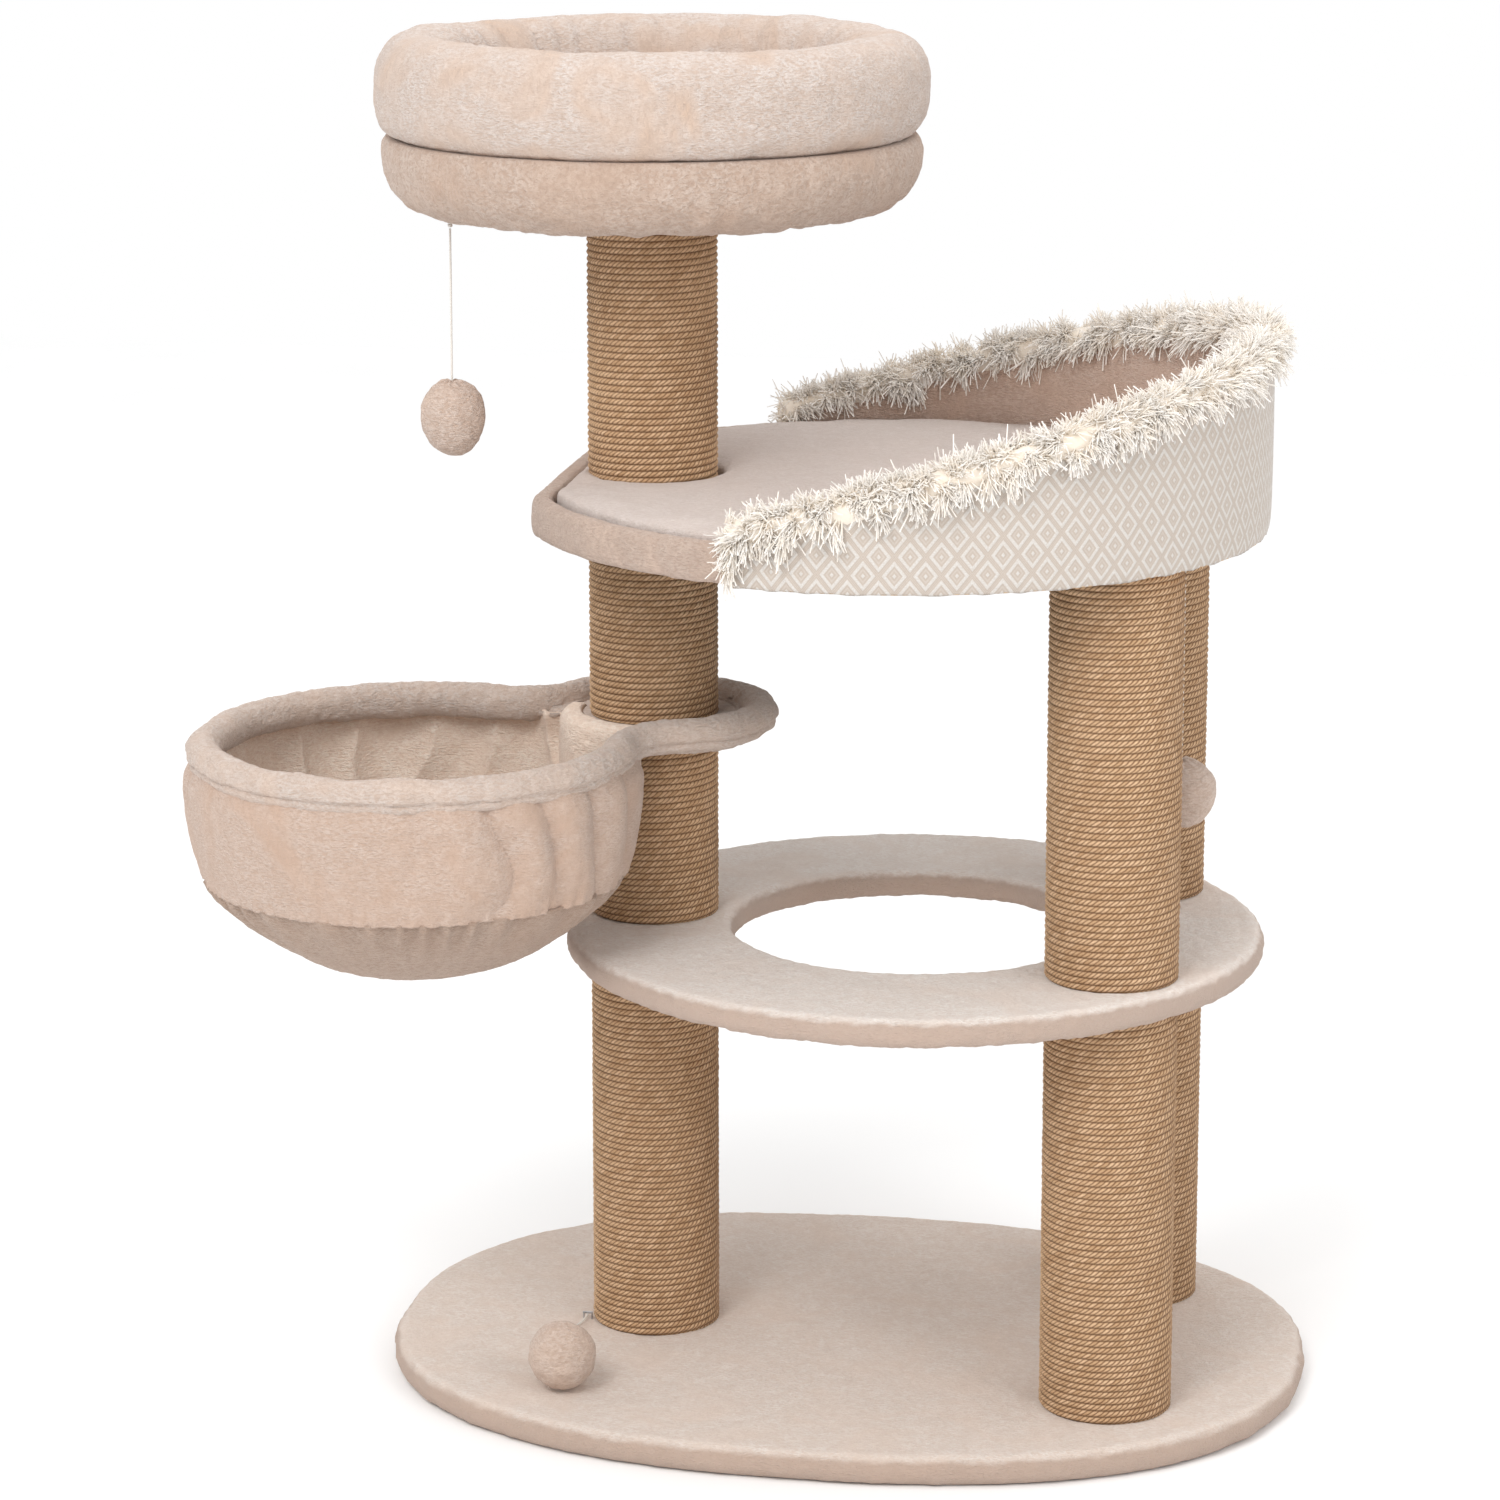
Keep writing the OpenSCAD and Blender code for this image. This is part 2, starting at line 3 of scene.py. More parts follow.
import math
import bpy
import numpy as np
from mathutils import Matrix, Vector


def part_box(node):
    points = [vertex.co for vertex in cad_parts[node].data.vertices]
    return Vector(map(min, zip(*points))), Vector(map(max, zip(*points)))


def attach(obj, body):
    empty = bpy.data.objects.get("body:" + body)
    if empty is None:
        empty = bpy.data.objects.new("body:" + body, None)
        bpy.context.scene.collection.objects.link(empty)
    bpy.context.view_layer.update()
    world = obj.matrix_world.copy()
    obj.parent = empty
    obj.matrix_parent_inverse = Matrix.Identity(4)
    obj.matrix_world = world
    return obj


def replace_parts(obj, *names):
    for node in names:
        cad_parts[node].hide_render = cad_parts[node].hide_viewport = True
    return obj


MM = 0.001
TURN = 2 * math.pi

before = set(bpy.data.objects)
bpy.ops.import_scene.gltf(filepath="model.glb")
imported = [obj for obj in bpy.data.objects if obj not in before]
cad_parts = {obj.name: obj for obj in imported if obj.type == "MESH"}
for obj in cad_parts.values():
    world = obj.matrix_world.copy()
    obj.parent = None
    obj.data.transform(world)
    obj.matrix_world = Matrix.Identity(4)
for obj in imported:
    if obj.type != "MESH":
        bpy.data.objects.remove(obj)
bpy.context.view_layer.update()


# ---------- places taken from the frame ----------

def corners(node):
    """Lowest and highest corner of a CAD node, as arrays."""
    low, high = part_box(node)
    return np.array(low), np.array(high)


def round_place(node):
    """A round CAD node's middle in x and y, and its radius."""
    low, high = corners(node)
    return ((low + high) / 2)[:2], (high[0] - low[0]) / 2


BASE_LOW, BASE_HIGH = corners("base_cover")
BASE_HALF = (BASE_HIGH - BASE_LOW)[:2] / 2
LEFT_POST = round_place("left_rope_1")[0]
SHELF_LOW, SHELF_HIGH = corners("shelf_cover")
COLLAR_LOW, COLLAR_HIGH = corners("collar_cover")
COLLAR_RADIUS = round_place("collar_cover")[1]
RIM_LOW, RIM_HIGH = corners("basket_rim")
BED_LOW, BED_HIGH = corners("bed_base")
BOLSTER_LOW, BOLSTER_HIGH = corners("bed_bolster")
CLOTH_LOW, CLOTH_HIGH = corners("lounger_outer_cloth")
LIP_LOW, LIP_HIGH = corners("lounger_lip")
PAD_LOW, PAD_HIGH = corners("lounger_pad")

# The basket's direction from the post, its reach and its radii
BASKET_ANGLE = math.radians(222)
BASKET_REACH = 0.254
RIM_RADIUS = 0.188
RIM_SMALL_RADIUS = 0.100
WAIST_RADIUS = 0.060
TUBE_RADIUS = (RIM_HIGH[2] - RIM_LOW[2]) / 2
RIM_Z = (RIM_HIGH[2] + RIM_LOW[2]) / 2
BASKET = LEFT_POST + BASKET_REACH * np.array([math.cos(BASKET_ANGLE), math.sin(BASKET_ANGLE)])
BOWL_RADIUS = 0.205
BOWL_SEAM_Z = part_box("basket_side")[0][2]
BOWL_LOW_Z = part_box("basket_bottom")[0][2]

# The lounger's round wall, whose top edge lies in a sloping plane
WALL_RADIUS = (CLOTH_HIGH[1] - CLOTH_LOW[1]) / 2
LOUNGER = np.array([CLOTH_HIGH[0] - WALL_RADIUS, 0.0])
LOUNGER_LOW = CLOTH_LOW[2]
WALL_HALF = math.radians(112)
WALL_TURN = math.radians(5)
WALL_MID_Z = 0.890
WALL_SLOPE = math.tan(math.radians(15.3))
LINING_RADIUS = 0.319
SEAT_Z = PAD_LOW[2]
ENTRANCE = LOUNGER[0] - LIP_LOW[0]


# ---------- noise and meshes ----------

def lattice(x, y, z, seed):
    """A fixed random value from -1 to 1 at each whole-numbered point."""
    mask = 0xFFFFFFFF
    h = (x * 374761393 + y * 668265263 + z * 1442695041 + seed * 974634777) & mask
    h = ((h ^ (h >> 13)) * 1274126177) & mask
    return ((h ^ (h >> 16)) & 0xFFFF) / 32767.5 - 1


def value_noise(points, seed):
    """Smooth noise from -1 to 1 between the values of a unit lattice."""
    cell = np.floor(points)
    part = points - cell
    part = part * part * (3 - 2 * part)
    cell = cell.astype(np.int64)
    value = 0
    for dx in (0, 1):
        for dy in (0, 1):
            for dz in (0, 1):
                share = part[..., 0] if dx else 1 - part[..., 0]
                share = share * (part[..., 1] if dy else 1 - part[..., 1])
                share = share * (part[..., 2] if dz else 1 - part[..., 2])
                value = value + share * lattice(cell[..., 0] + dx, cell[..., 1] + dy, cell[..., 2] + dz, seed)
    return value


def skew(first, second):
    """A rotation by two angles, which hides the lattice's own directions."""
    c, s, d, t = math.cos(first), math.sin(first), math.cos(second), math.sin(second)
    return np.array([[c, -s, 0], [s * d, c * d, -t], [s * t, c * t, d]])


def lumps(points, size, seed=0, octaves=1):
    """Smooth noise from about -1 to 1, with lumps of that size, which may differ along x, y and z."""
    total, whole, weight = 0, 0, 1.0
    scaled = np.asarray(points) / np.asarray(size)
    for octave in range(octaves):
        for turn in (0.6, 2.1):
            turned = scaled @ skew(turn + octave, 0.9 * turn).T
            total = total + weight * value_noise(turned, seed + 31 * octave)
            whole += weight * 0.75
        weight *= 0.5
        scaled = scaled * 2.03
    return total / whole


def smooth(low, high, x):
    """0 at low and 1 at high, with a gentle start and end."""
    t = np.clip((x - low) / (high - low), 0, 1)
    return t * t * (3 - 2 * t)


def volume(points, faces):
    """Six times the volume inside the faces, negative where they look inward."""
    total = 0
    for face in faces:
        a = points[face[:, 0]]
        for k in range(1, face.shape[1] - 1):
            total += np.einsum("ij,ij->i", a, np.cross(points[face[:, k]], points[face[:, k + 1]])).sum()
    return total


def add_object(name, data):
    piece = bpy.data.objects.new(name, data)
    bpy.context.scene.collection.objects.link(piece)
    return piece


def mesh_piece(name, points, *faces):
    """A smooth-shaded closed mesh object, its faces turned to look outward."""
    points = np.asarray(points, float).reshape(-1, 3)
    if volume(points - points.mean(0), faces) < 0:
        faces = [face[:, ::-1] for face in faces]
    totals = np.concatenate([np.full(len(face), face.shape[1]) for face in faces])
    mesh = bpy.data.meshes.new(name)
    mesh.vertices.add(len(points))
    mesh.vertices.foreach_set("co", points.ravel())
    mesh.loops.add(int(totals.sum()))
    mesh.loops.foreach_set("vertex_index", np.concatenate([face.ravel() for face in faces]))
    mesh.polygons.add(len(totals))
    mesh.polygons.foreach_set("loop_start", np.concatenate([[0], np.cumsum(totals)[:-1]]))
    mesh.polygons.foreach_set("use_smooth", np.ones(len(totals), bool))
    mesh.update(calc_edges=True)
    mesh.validate()
    return add_object(name, mesh)


def skin_faces(rows, around, join):
    """Quads between closed rings of points; join ties the ends together, or else a fan closes each."""
    index = np.arange(rows * around).reshape(rows, around)
    index = np.hstack([index, index[:, :1]])
    if join:
        index = np.vstack([index, index[:1]])
    quads = np.stack([index[:-1, :-1], index[:-1, 1:], index[1:, 1:], index[1:, :-1]], -1).reshape(-1, 4)
    if join:
        return [quads]
    first, last, hubs = index[0], index[-1], rows * around
    fan = [np.stack([np.full(around, hubs), first[1:], first[:-1]], -1),
           np.stack([np.full(around, hubs + 1), last[:-1], last[1:]], -1)]
    return [quads] + fan


def skin(name, grid, join=False):
    """A closed mesh over grid[row][around], rings of points that each close on themselves."""
    points = grid.reshape(-1, 3)
    if not join:
        points = np.concatenate([points, grid[[0, -1]].mean(1)])
    return mesh_piece(name, points, *skin_faces(grid.shape[0], grid.shape[1], join))


def vertices(piece):
    co = np.empty(len(piece.data.vertices) * 3)
    piece.data.vertices.foreach_get("co", co)
    return co.reshape(-1, 3)


def set_vertices(piece, co):
    piece.data.vertices.foreach_set("co", co.ravel())
    piece.data.update()


def push_out(piece, height):
    """Moves each vertex along its normal by height(points)."""
    normals = np.empty(len(piece.data.vertices) * 3)
    piece.data.vertex_normals.foreach_get("vector", normals)
    co = vertices(piece)
    set_vertices(piece, co + normals.reshape(-1, 3) * height(co)[:, None])


def plush_height(clump=0.9, swell=0.7, nap=(1, 1, 1), seed=0):
    """Height of short brushed pile: clumps about 7 mm wide on swells of 30 mm; both heights in mm."""
    clump, swell = clump * MM, swell * MM

    def height(points):
        near = points / np.array(nap)
        fine = lumps(near, 0.0065, seed, 2)
        broad = lumps(points, 0.030, seed + 7)
        return clump * fine + swell * broad
    return height


def spin(centre, radius, angle, z):
    """Points at radius and angle about an upright axis."""
    radius, angle, z = np.broadcast_arrays(radius, angle, z)
    return np.stack([centre[0] + radius * np.cos(angle), centre[1] + radius * np.sin(angle), z], -1)


def angles(count, start=0.0, end=TURN, closed=True):
    """Evenly spaced angles; closed leaves out the end, which repeats the start."""
    return np.linspace(start, end, count, endpoint=not closed)


def rounded_profile(inner, outer, low, high, radius, step):
    """A closed loop of (r, z) points round a flat slab with round edges, about one for every step."""
    radius = min(radius, (high - low) / 2 - 1e-6)
    flat = max(2, int((outer - inner - 2 * radius) / step))
    bend = 9
    points = []
    for r, z, start in ((outer - radius, high - radius, 90), (outer - radius, low + radius, 0),
                        (inner + radius, low + radius, -90), (inner + radius, high - radius, -180)):
        for a in np.radians(np.linspace(start, start - 90, bend)):
            points.append((r + radius * math.cos(a), z + radius * math.sin(a)))
        if start in (0, -180):
            ends = (points[-1][0], outer - radius if start == -180 else inner + radius)
            for r_next in np.linspace(ends[0], ends[1], flat + 1)[1:-1]:
                points.append((r_next, points[-1][1]))
    return np.array(points)


# ---------- materials ----------

def srgb(red, green, blue):
    """A linear colour with alpha from display values out of 255."""
    out = []
    for value in (red / 255, green / 255, blue / 255):
        out.append(value / 12.92 if value <= 0.04045 else ((value + 0.055) / 1.055) ** 2.4)
    return (*out, 1.0)


class Paint:
    """A material's node tree, with a short call for each kind of node used here."""

    def __init__(self, name, roughness=0.9, specular=0.25, metallic=0.0, sheen=0.0, sheen_tint=None):
        self.material = bpy.data.materials.new(name)
        self.material.use_nodes = True
        self.tree = self.material.node_tree
        self.shader = self.tree.nodes["Principled BSDF"]
        self.shader.inputs["Roughness"].default_value = roughness
        self.shader.inputs["Specular IOR Level"].default_value = specular
        self.shader.inputs["Metallic"].default_value = metallic
        if sheen:
            self.shader.inputs["Sheen Weight"].default_value = sheen
            self.shader.inputs["Sheen Roughness"].default_value = 0.45
            self.shader.inputs["Sheen Tint"].default_value = sheen_tint or (1, 1, 1, 1)

    def node(self, kind):
        return self.tree.nodes.new("ShaderNode" + kind)

    def put(self, socket, value):
        if isinstance(value, bpy.types.NodeSocket):
            self.tree.links.new(value, socket)
        else:
            socket.default_value = value

    def place(self, stretch=(1, 1, 1)):
        """The point on the object, stretched along x, y and z."""
        coordinates = self.node("TexCoord").outputs["Object"]
        scale = self.node("VectorMath")
        scale.operation = "MULTIPLY"
        self.put(scale.inputs[0], coordinates)
        self.put(scale.inputs[1], stretch)
        return scale.outputs[0]

    def noise(self, place, size, detail=2.0, distortion=0.0):
        """Noise from 0 to 1 with lumps of about that size in metres."""
        node = self.node("TexNoise")
        self.put(node.inputs["Vector"], place)
        node.inputs["Scale"].default_value = 1 / size
        node.inputs["Detail"].default_value = detail
        node.inputs["Distortion"].default_value = distortion
        return node.outputs["Fac"]

    def cells(self, place, size):
        """The distance to the nearest of scattered points about that far apart."""
        node = self.node("TexVoronoi")
        self.put(node.inputs["Vector"], place)
        node.inputs["Scale"].default_value = 1 / size
        return node.outputs["Distance"]

    def calc(self, operation, a, b=0.0, c=0.0):
        node = self.node("Math")
        node.operation = operation
        for socket, value in zip(node.inputs, (a, b, c)):
            self.put(socket, value)
        return node.outputs[0]

    def axes(self, vector):
        node = self.node("SeparateXYZ")
        self.put(node.inputs[0], vector)
        return node.outputs[0], node.outputs[1], node.outputs[2]

    def fit(self, value, low, high, to_low=0.0, to_high=1.0):
        """value from low..high to to_low..to_high, smoothly and held at the ends."""
        node = self.node("MapRange")
        node.interpolation_type = "SMOOTHSTEP"
        for socket, number in zip(list(node.inputs)[:5], (value, low, high, to_low, to_high)):
            self.put(socket, number)
        return node.outputs[0]

    def mix(self, share, a, b):
        node = self.node("Mix")
        node.data_type = "RGBA"
        self.put(node.inputs[0], share)
        self.put(node.inputs[6], a)
        self.put(node.inputs[7], b)
        return node.outputs[2]

    def ramp(self, share, stops):
        node = self.node("ValToRGB")
        band = node.color_ramp
        while len(band.elements) < len(stops):
            band.elements.new(0.5)
        for element, (position, colour) in zip(band.elements, stops):
            element.position = position
            element.color = colour
        self.put(node.inputs[0], share)
        return node.outputs[0]

    def attribute(self, name):
        node = self.node("Attribute")
        node.attribute_name = name
        return node.outputs["Fac"]

    def finish(self, colour, height=None, distance=MM, strength=1.0):
        self.put(self.shader.inputs["Base Color"], colour)
        if height is not None:
            bump = self.node("Bump")
            bump.inputs["Distance"].default_value = distance
            bump.inputs["Strength"].default_value = strength
            self.put(bump.inputs["Height"], height)
            self.put(self.shader.inputs["Normal"], bump.outputs[0])
        return self.material


def plush(name, light, shade, brushed=(224, 192, 168), lay=(1, 1, 2.8), patchy=0.5, edge=None):
    """Short soft pile, from display colours: fine streaks, narrowed along each axis by lay, and ruffles.

    Where the pile doesn't face up, the tone turns to edge, if one is given: a painted shade on the sides.
    """
    light, shade, brushed = srgb(*light), srgb(*shade), srgb(*brushed)
    paint = Paint(name, roughness=0.95, specular=0.1, sheen=0.3, sheen_tint=srgb(255, 246, 240))
    still = paint.place()
    patches = paint.fit(paint.noise(still, 0.09, 4, 1.2), 0.42, 0.74, 0, patchy)
    streaks = paint.noise(paint.place(lay), 0.0042, 3, 0.4)
    ruffled = paint.noise(paint.place((1, 1, 0.4)), 0.0046, 3, 1.0)
    clumps = paint.noise(still, 0.014, 2, 0.8)
    fibres = paint.noise(paint.place(lay), 0.0015, 2, 0.3)
    pile = paint.calc("MULTIPLY_ADD", paint.calc("SUBTRACT", ruffled, streaks), patches, streaks)
    tone = paint.mix(patches, light, brushed)
    tone = paint.mix(paint.fit(clumps, 0.35, 0.65, 0.35, 0.0), tone, shade)
    tone = paint.mix(paint.fit(pile, 0.34, 0.60, 0.85, 0.0), tone, shade)
    tone = paint.mix(paint.fit(fibres, 0.34, 0.60, 0.50, 0.0), tone, shade)
    # Painted shade: faces that don't look up take the darker edge colour.
    if edge:
        normal = paint.node("NewGeometry").outputs["Normal"]
        sideways_shade = paint.fit(paint.axes(normal)[2], 0.45, 0.95, 0.85, 0)
        tone = paint.mix(sideways_shade, tone, srgb(*edge))
    height = paint.calc("MULTIPLY_ADD", fibres, 0.4, pile)
    return paint.finish(tone, height, 3.2 * MM, 0.85)


POSTS = (("left", 4), ("front", 2), ("back", 2))
ROPE_PITCH = 6.0 * MM
STRAND = 5.0 * MM
STRAND_LEAN = 1.2


def rope(name, centre, radius):
    """Jute rope wound round a post: twisted strands that lean right, with painted shade in the gaps between
    turns and between strands.
    """
    paint = Paint(name, roughness=0.85, specular=0.2, sheen=0.15, sheen_tint=srgb(255, 226, 190))
    place = paint.place()
    x, y, z = paint.axes(place)
    angle = paint.calc("ARCTAN2", paint.calc("SUBTRACT", y, float(centre[1])),
                       paint.calc("SUBTRACT", x, float(centre[0])))
    phase = paint.calc("SUBTRACT", paint.calc("DIVIDE", z, ROPE_PITCH), paint.calc("DIVIDE", angle, TURN))
    turn = paint.calc("FLOOR", phase)
    across = paint.calc("SUBTRACT", paint.calc("SUBTRACT", phase, turn), 0.5)
    along = paint.calc("MULTIPLY", paint.calc("MULTIPLY_ADD", turn, TURN, angle), float(radius))
    slant = paint.calc("MULTIPLY", across, ROPE_PITCH * STRAND_LEAN)
    wobble = paint.calc("MULTIPLY", paint.noise(place, 0.012, 2), 0.5)
    strand = paint.calc("ADD", paint.calc("DIVIDE", paint.calc("SUBTRACT", along, slant), STRAND), wobble)
    gap = paint.calc("ABSOLUTE", paint.calc("SUBTRACT", paint.calc("FRACT", strand), 0.5))
    groove = paint.fit(paint.calc("ABSOLUTE", across), 0.30, 0.5)
    split = paint.fit(gap, 0.22, 0.5)
    pick = paint.node("CombineXYZ")
    paint.put(pick.inputs[0], paint.calc("FLOOR", strand))
    paint.put(pick.inputs[1], turn)
    chance = paint.node("TexWhiteNoise")
    paint.put(chance.inputs["Vector"], pick.outputs[0])
    fibres = paint.noise(paint.place((1, 1, 0.5)), 0.0009, 3, 0.5)
    broad = paint.noise(paint.place((1, 1, 4)), 0.05, 3)
    tone = paint.mix(chance.outputs["Value"], srgb(222, 189, 154), srgb(189, 154, 118))
    tone = paint.mix(paint.fit(broad, 0.3, 0.7, 0, 0.35), tone, srgb(204, 168, 130))
    tone = paint.mix(paint.fit(fibres, 0.3, 0.7, 0.35, 0), tone, srgb(150, 110, 76))
    # Painted shade: darker in the splits between strands and in the grooves between turns.
    tone = paint.mix(paint.calc("MULTIPLY", split, 0.85), tone, srgb(112, 76, 48))
    tone = paint.mix(paint.calc("MULTIPLY", groove, 0.7), tone, srgb(98, 66, 42))
    height = paint.calc("SUBTRACT", paint.calc("SUBTRACT", 1.0, groove), paint.calc("MULTIPLY", split, 0.5))
    height = paint.calc("MULTIPLY_ADD", fibres, 0.25, height)
    return paint.finish(tone, height, 1.3 * MM, 0.8)


DIAMOND_WIDE = 26.5 * MM
DIAMOND_HIGH = 33 * MM


def jacquard(name):
    """Woven cloth with a lattice of nested diamonds in pale and sand-coloured yarn."""
    paint = Paint(name, roughness=0.8, specular=0.25, sheen=0.15)
    place = paint.place()
    x, y, z = paint.axes(place)
    angle = paint.calc("ARCTAN2", y, paint.calc("SUBTRACT", x, float(LOUNGER[0])))
    across = paint.calc("DIVIDE", paint.calc("MULTIPLY", angle, float(WALL_RADIUS)), DIAMOND_WIDE)
    up = paint.calc("DIVIDE", z, DIAMOND_HIGH)
    edge = []
    for operation in ("ADD", "SUBTRACT"):
        share = paint.calc("FRACT", paint.calc(operation, across, up))
        edge.append(paint.calc("ABSOLUTE", paint.calc("SUBTRACT", share, 0.5)))
    reach = paint.calc("MULTIPLY", paint.calc("MAXIMUM", *edge), 2.0)
    pale, sand, mid = srgb(209, 206, 202), srgb(178, 165, 153), srgb(194, 185, 177)
    stops = ((0.0, pale), (0.10, pale), (0.18, sand), (0.34, mid), (0.48, sand), (0.57, pale), (0.76, pale),
             (0.86, sand), (0.94, mid), (1.0, sand))
    tone = paint.ramp(reach, stops)
    weft = paint.noise(paint.place((1, 1, 5)), 0.0022, 2)
    yarn = paint.noise(place, 0.0011, 3)
    tone = paint.mix(paint.fit(weft, 0.35, 0.65, 0.30, 0), tone, sand)
    tone = paint.mix(paint.fit(yarn, 0.3, 0.7, 0.35, 0), tone, sand)
    line = paint.node("RGBToBW")
    paint.put(line.inputs[0], tone)
    height = paint.calc("MULTIPLY_ADD", yarn, 0.25, line.outputs[0])
    return paint.finish(tone, height, 1.2 * MM, 0.8)


def fringe_yarn(name):
    """Loose cotton yarn: white at the tips, cream lower down."""
    paint = Paint(name, roughness=0.9, specular=0.15, sheen=0.3)
    along = paint.attribute("along")
    place = paint.place()
    hue = paint.noise(place, 0.018, 2)
    fine = paint.noise(place, 0.002, 2)
    stops = ((0.0, srgb(236, 225, 210)), (0.4, srgb(238, 231, 222)), (1.0, srgb(239, 236, 232)))
    tone = paint.ramp(along, stops)
    tone = paint.mix(paint.fit(hue, 0.45, 0.7, 0, 0.35), tone, srgb(237, 223, 202))
    return paint.finish(paint.mix(paint.fit(fine, 0.3, 0.7, 0.12, 0), tone, srgb(225, 211, 193)))


def board(name):
    """Chipboard: pressed flakes in several browns."""
    paint = Paint(name, roughness=0.75, specular=0.3)
    flakes = paint.cells(paint.place((1, 1, 2.5)), 0.004)
    broad = paint.noise(paint.place(), 0.03, 4)
    stops = ((0.0, srgb(214, 182, 138)), (0.45, srgb(190, 152, 106)), (0.9, srgb(150, 112, 74)))
    tone = paint.ramp(flakes, stops)
    tone = paint.mix(paint.fit(broad, 0.35, 0.65, 0, 0.3), tone, srgb(226, 198, 158))
    return paint.finish(tone, flakes, 0.4 * MM, 0.5)


def cardboard(name):
    """Grey-brown paper tube with its fibres and a few specks."""
    paint = Paint(name, roughness=0.85, specular=0.2)
    fibres = paint.noise(paint.place((1, 1, 0.25)), 0.003, 4)
    specks = paint.cells(paint.place(), 0.006)
    tone = paint.mix(paint.fit(fibres, 0.35, 0.65), srgb(172, 142, 108), srgb(198, 168, 132))
    tone = paint.mix(paint.fit(specks, 0.0, 0.12, 0.6, 0), tone, srgb(120, 94, 68))
    return paint.finish(tone, fibres, 0.3 * MM, 0.4)


def steel(name):
    """Zinc-plated steel with a faint crystalline bloom and fine scratches."""
    paint = Paint(name, roughness=0.35, specular=0.5, metallic=1.0)
    bloom = paint.noise(paint.place(), 0.004, 3)
    scratches = paint.noise(paint.place((1, 1, 12)), 0.004, 3)
    tone = paint.mix(paint.fit(bloom, 0.35, 0.65), srgb(168, 170, 174), srgb(204, 206, 210))
    rough = paint.fit(scratches, 0.3, 0.7, 0.26, 0.45)
    paint.put(paint.shader.inputs["Roughness"], rough)
    return paint.finish(tone, scratches, 0.1 * MM, 0.3)


def plug_wood(name):
    """Turned pine with end grain rings."""
    paint = Paint(name, roughness=0.6, specular=0.3)
    rings = paint.noise(paint.place((1, 0.15, 1)), 0.004, 3, 0.4)
    tone = paint.mix(paint.fit(rings, 0.35, 0.65), srgb(214, 178, 128), srgb(186, 142, 92))
    return paint.finish(tone, rings, 0.3 * MM, 0.4)


def felt(name):
    """Thin dark non-woven cloth with its dimpled bonding pattern."""
    paint = Paint(name, roughness=0.95, specular=0.15, sheen=0.2)
    place = paint.place()
    dimples = paint.cells(place, 0.0025)
    fibres = paint.noise(place, 0.0012, 3)
    tone = paint.mix(paint.fit(fibres, 0.3, 0.7), srgb(52, 52, 54), srgb(78, 77, 78))
    tone = paint.mix(paint.fit(dimples, 0.0, 0.35, 0.5, 0), tone, srgb(38, 38, 40))
    return paint.finish(tone, dimples, 0.4 * MM, 0.6)


def cotton(name):
    """White braided cord, with painted shade in the hollows of its braid."""
    paint = Paint(name, roughness=0.85, specular=0.2, sheen=0.2)
    x, y, z = paint.axes(paint.place())
    lean = paint.calc("ADD", x, y)
    braid = paint.calc("SINE", paint.calc("MULTIPLY", paint.calc("ADD", z, lean), TURN / (1.4 * MM)))
    fine = paint.noise(paint.place(), 0.0008, 2)
    # Painted shade: the tone darkens where the braid sinks.
    tone = paint.mix(paint.fit(braid, -1, 1, 0, 0.8), srgb(214, 208, 200), srgb(246, 243, 238))
    tone = paint.mix(paint.fit(fine, 0.35, 0.6, 0.3, 0), tone, srgb(196, 188, 178))
    return paint.finish(tone, braid, 0.2 * MM, 0.6)


def floor_paint():
    paint = Paint("studio_floor", roughness=0.85, specular=0.1)
    grain = paint.noise(paint.place(), 0.3, 2)
    return paint.finish(paint.mix(grain, srgb(250, 250, 250), srgb(254, 254, 254)))


# ---------- studio ----------

# The viewpoint, fitted to the photograph; angles in degrees
LENS, SENSOR_WIDTH, SHIFT_Y = 112.36, 36, -0.1252
CAMERA_PLACE = (0.6123, -4.1692, 1.6199)
CAMERA_TILT, CAMERA_TURN = 78.554, 9.621
FLOOR_SIZE, FLOOR_Z = 6.0, -0.0006


def make_camera():
    data = bpy.data.cameras.new("camera")
    data.lens, data.sensor_width, data.shift_y = LENS, SENSOR_WIDTH, SHIFT_Y
    data.clip_end = 50
    camera = add_object("camera", data)
    camera.location = CAMERA_PLACE
    camera.rotation_euler = (math.radians(CAMERA_TILT), 0, math.radians(CAMERA_TURN))
    bpy.context.scene.camera = camera


def make_light(name, place, target, size, power):
    data = bpy.data.lights.new(name, "AREA")
    data.shape = "DISK"
    data.size = size
    data.energy = power
    light = add_object(name, data)
    light.location = place
    aim = (np.array(target) - np.array(place)).tolist()
    light.rotation_euler = Vector(aim).to_track_quat("-Z", "Y").to_euler()


def make_studio():
    world = bpy.data.worlds.new("studio")
    world.use_nodes = True
    world.node_tree.nodes["Background"].inputs["Color"].default_value = (1, 1, 1, 1)
    world.node_tree.nodes["Background"].inputs["Strength"].default_value = 1.0
    bpy.context.scene.world = world
    bpy.context.scene.view_settings.view_transform = "Standard"
    make_light("key", (-1.0, -3.4, 3.4), (0, 0, 0.5), 2.0, 80)
    make_light("fill", (2.6, -2.4, 2.2), (0, 0, 0.6), 1.4, 20)
    make_light("top", (0.4, 0.4, 3.4), (0, 0, 0.5), 1.6, 8)
    mesh = bpy.data.meshes.new("floor")
    signs = ((-1, -1), (1, -1), (1, 1), (-1, 1))
    mesh.from_pydata([(x * FLOOR_SIZE, y * FLOOR_SIZE, FLOOR_Z) for x, y in signs], [], [(0, 1, 2, 3)])
    floor = add_object("floor", mesh)
    floor.data.materials.append(floor_paint())


make_camera()


# ---------- toys on cords ----------

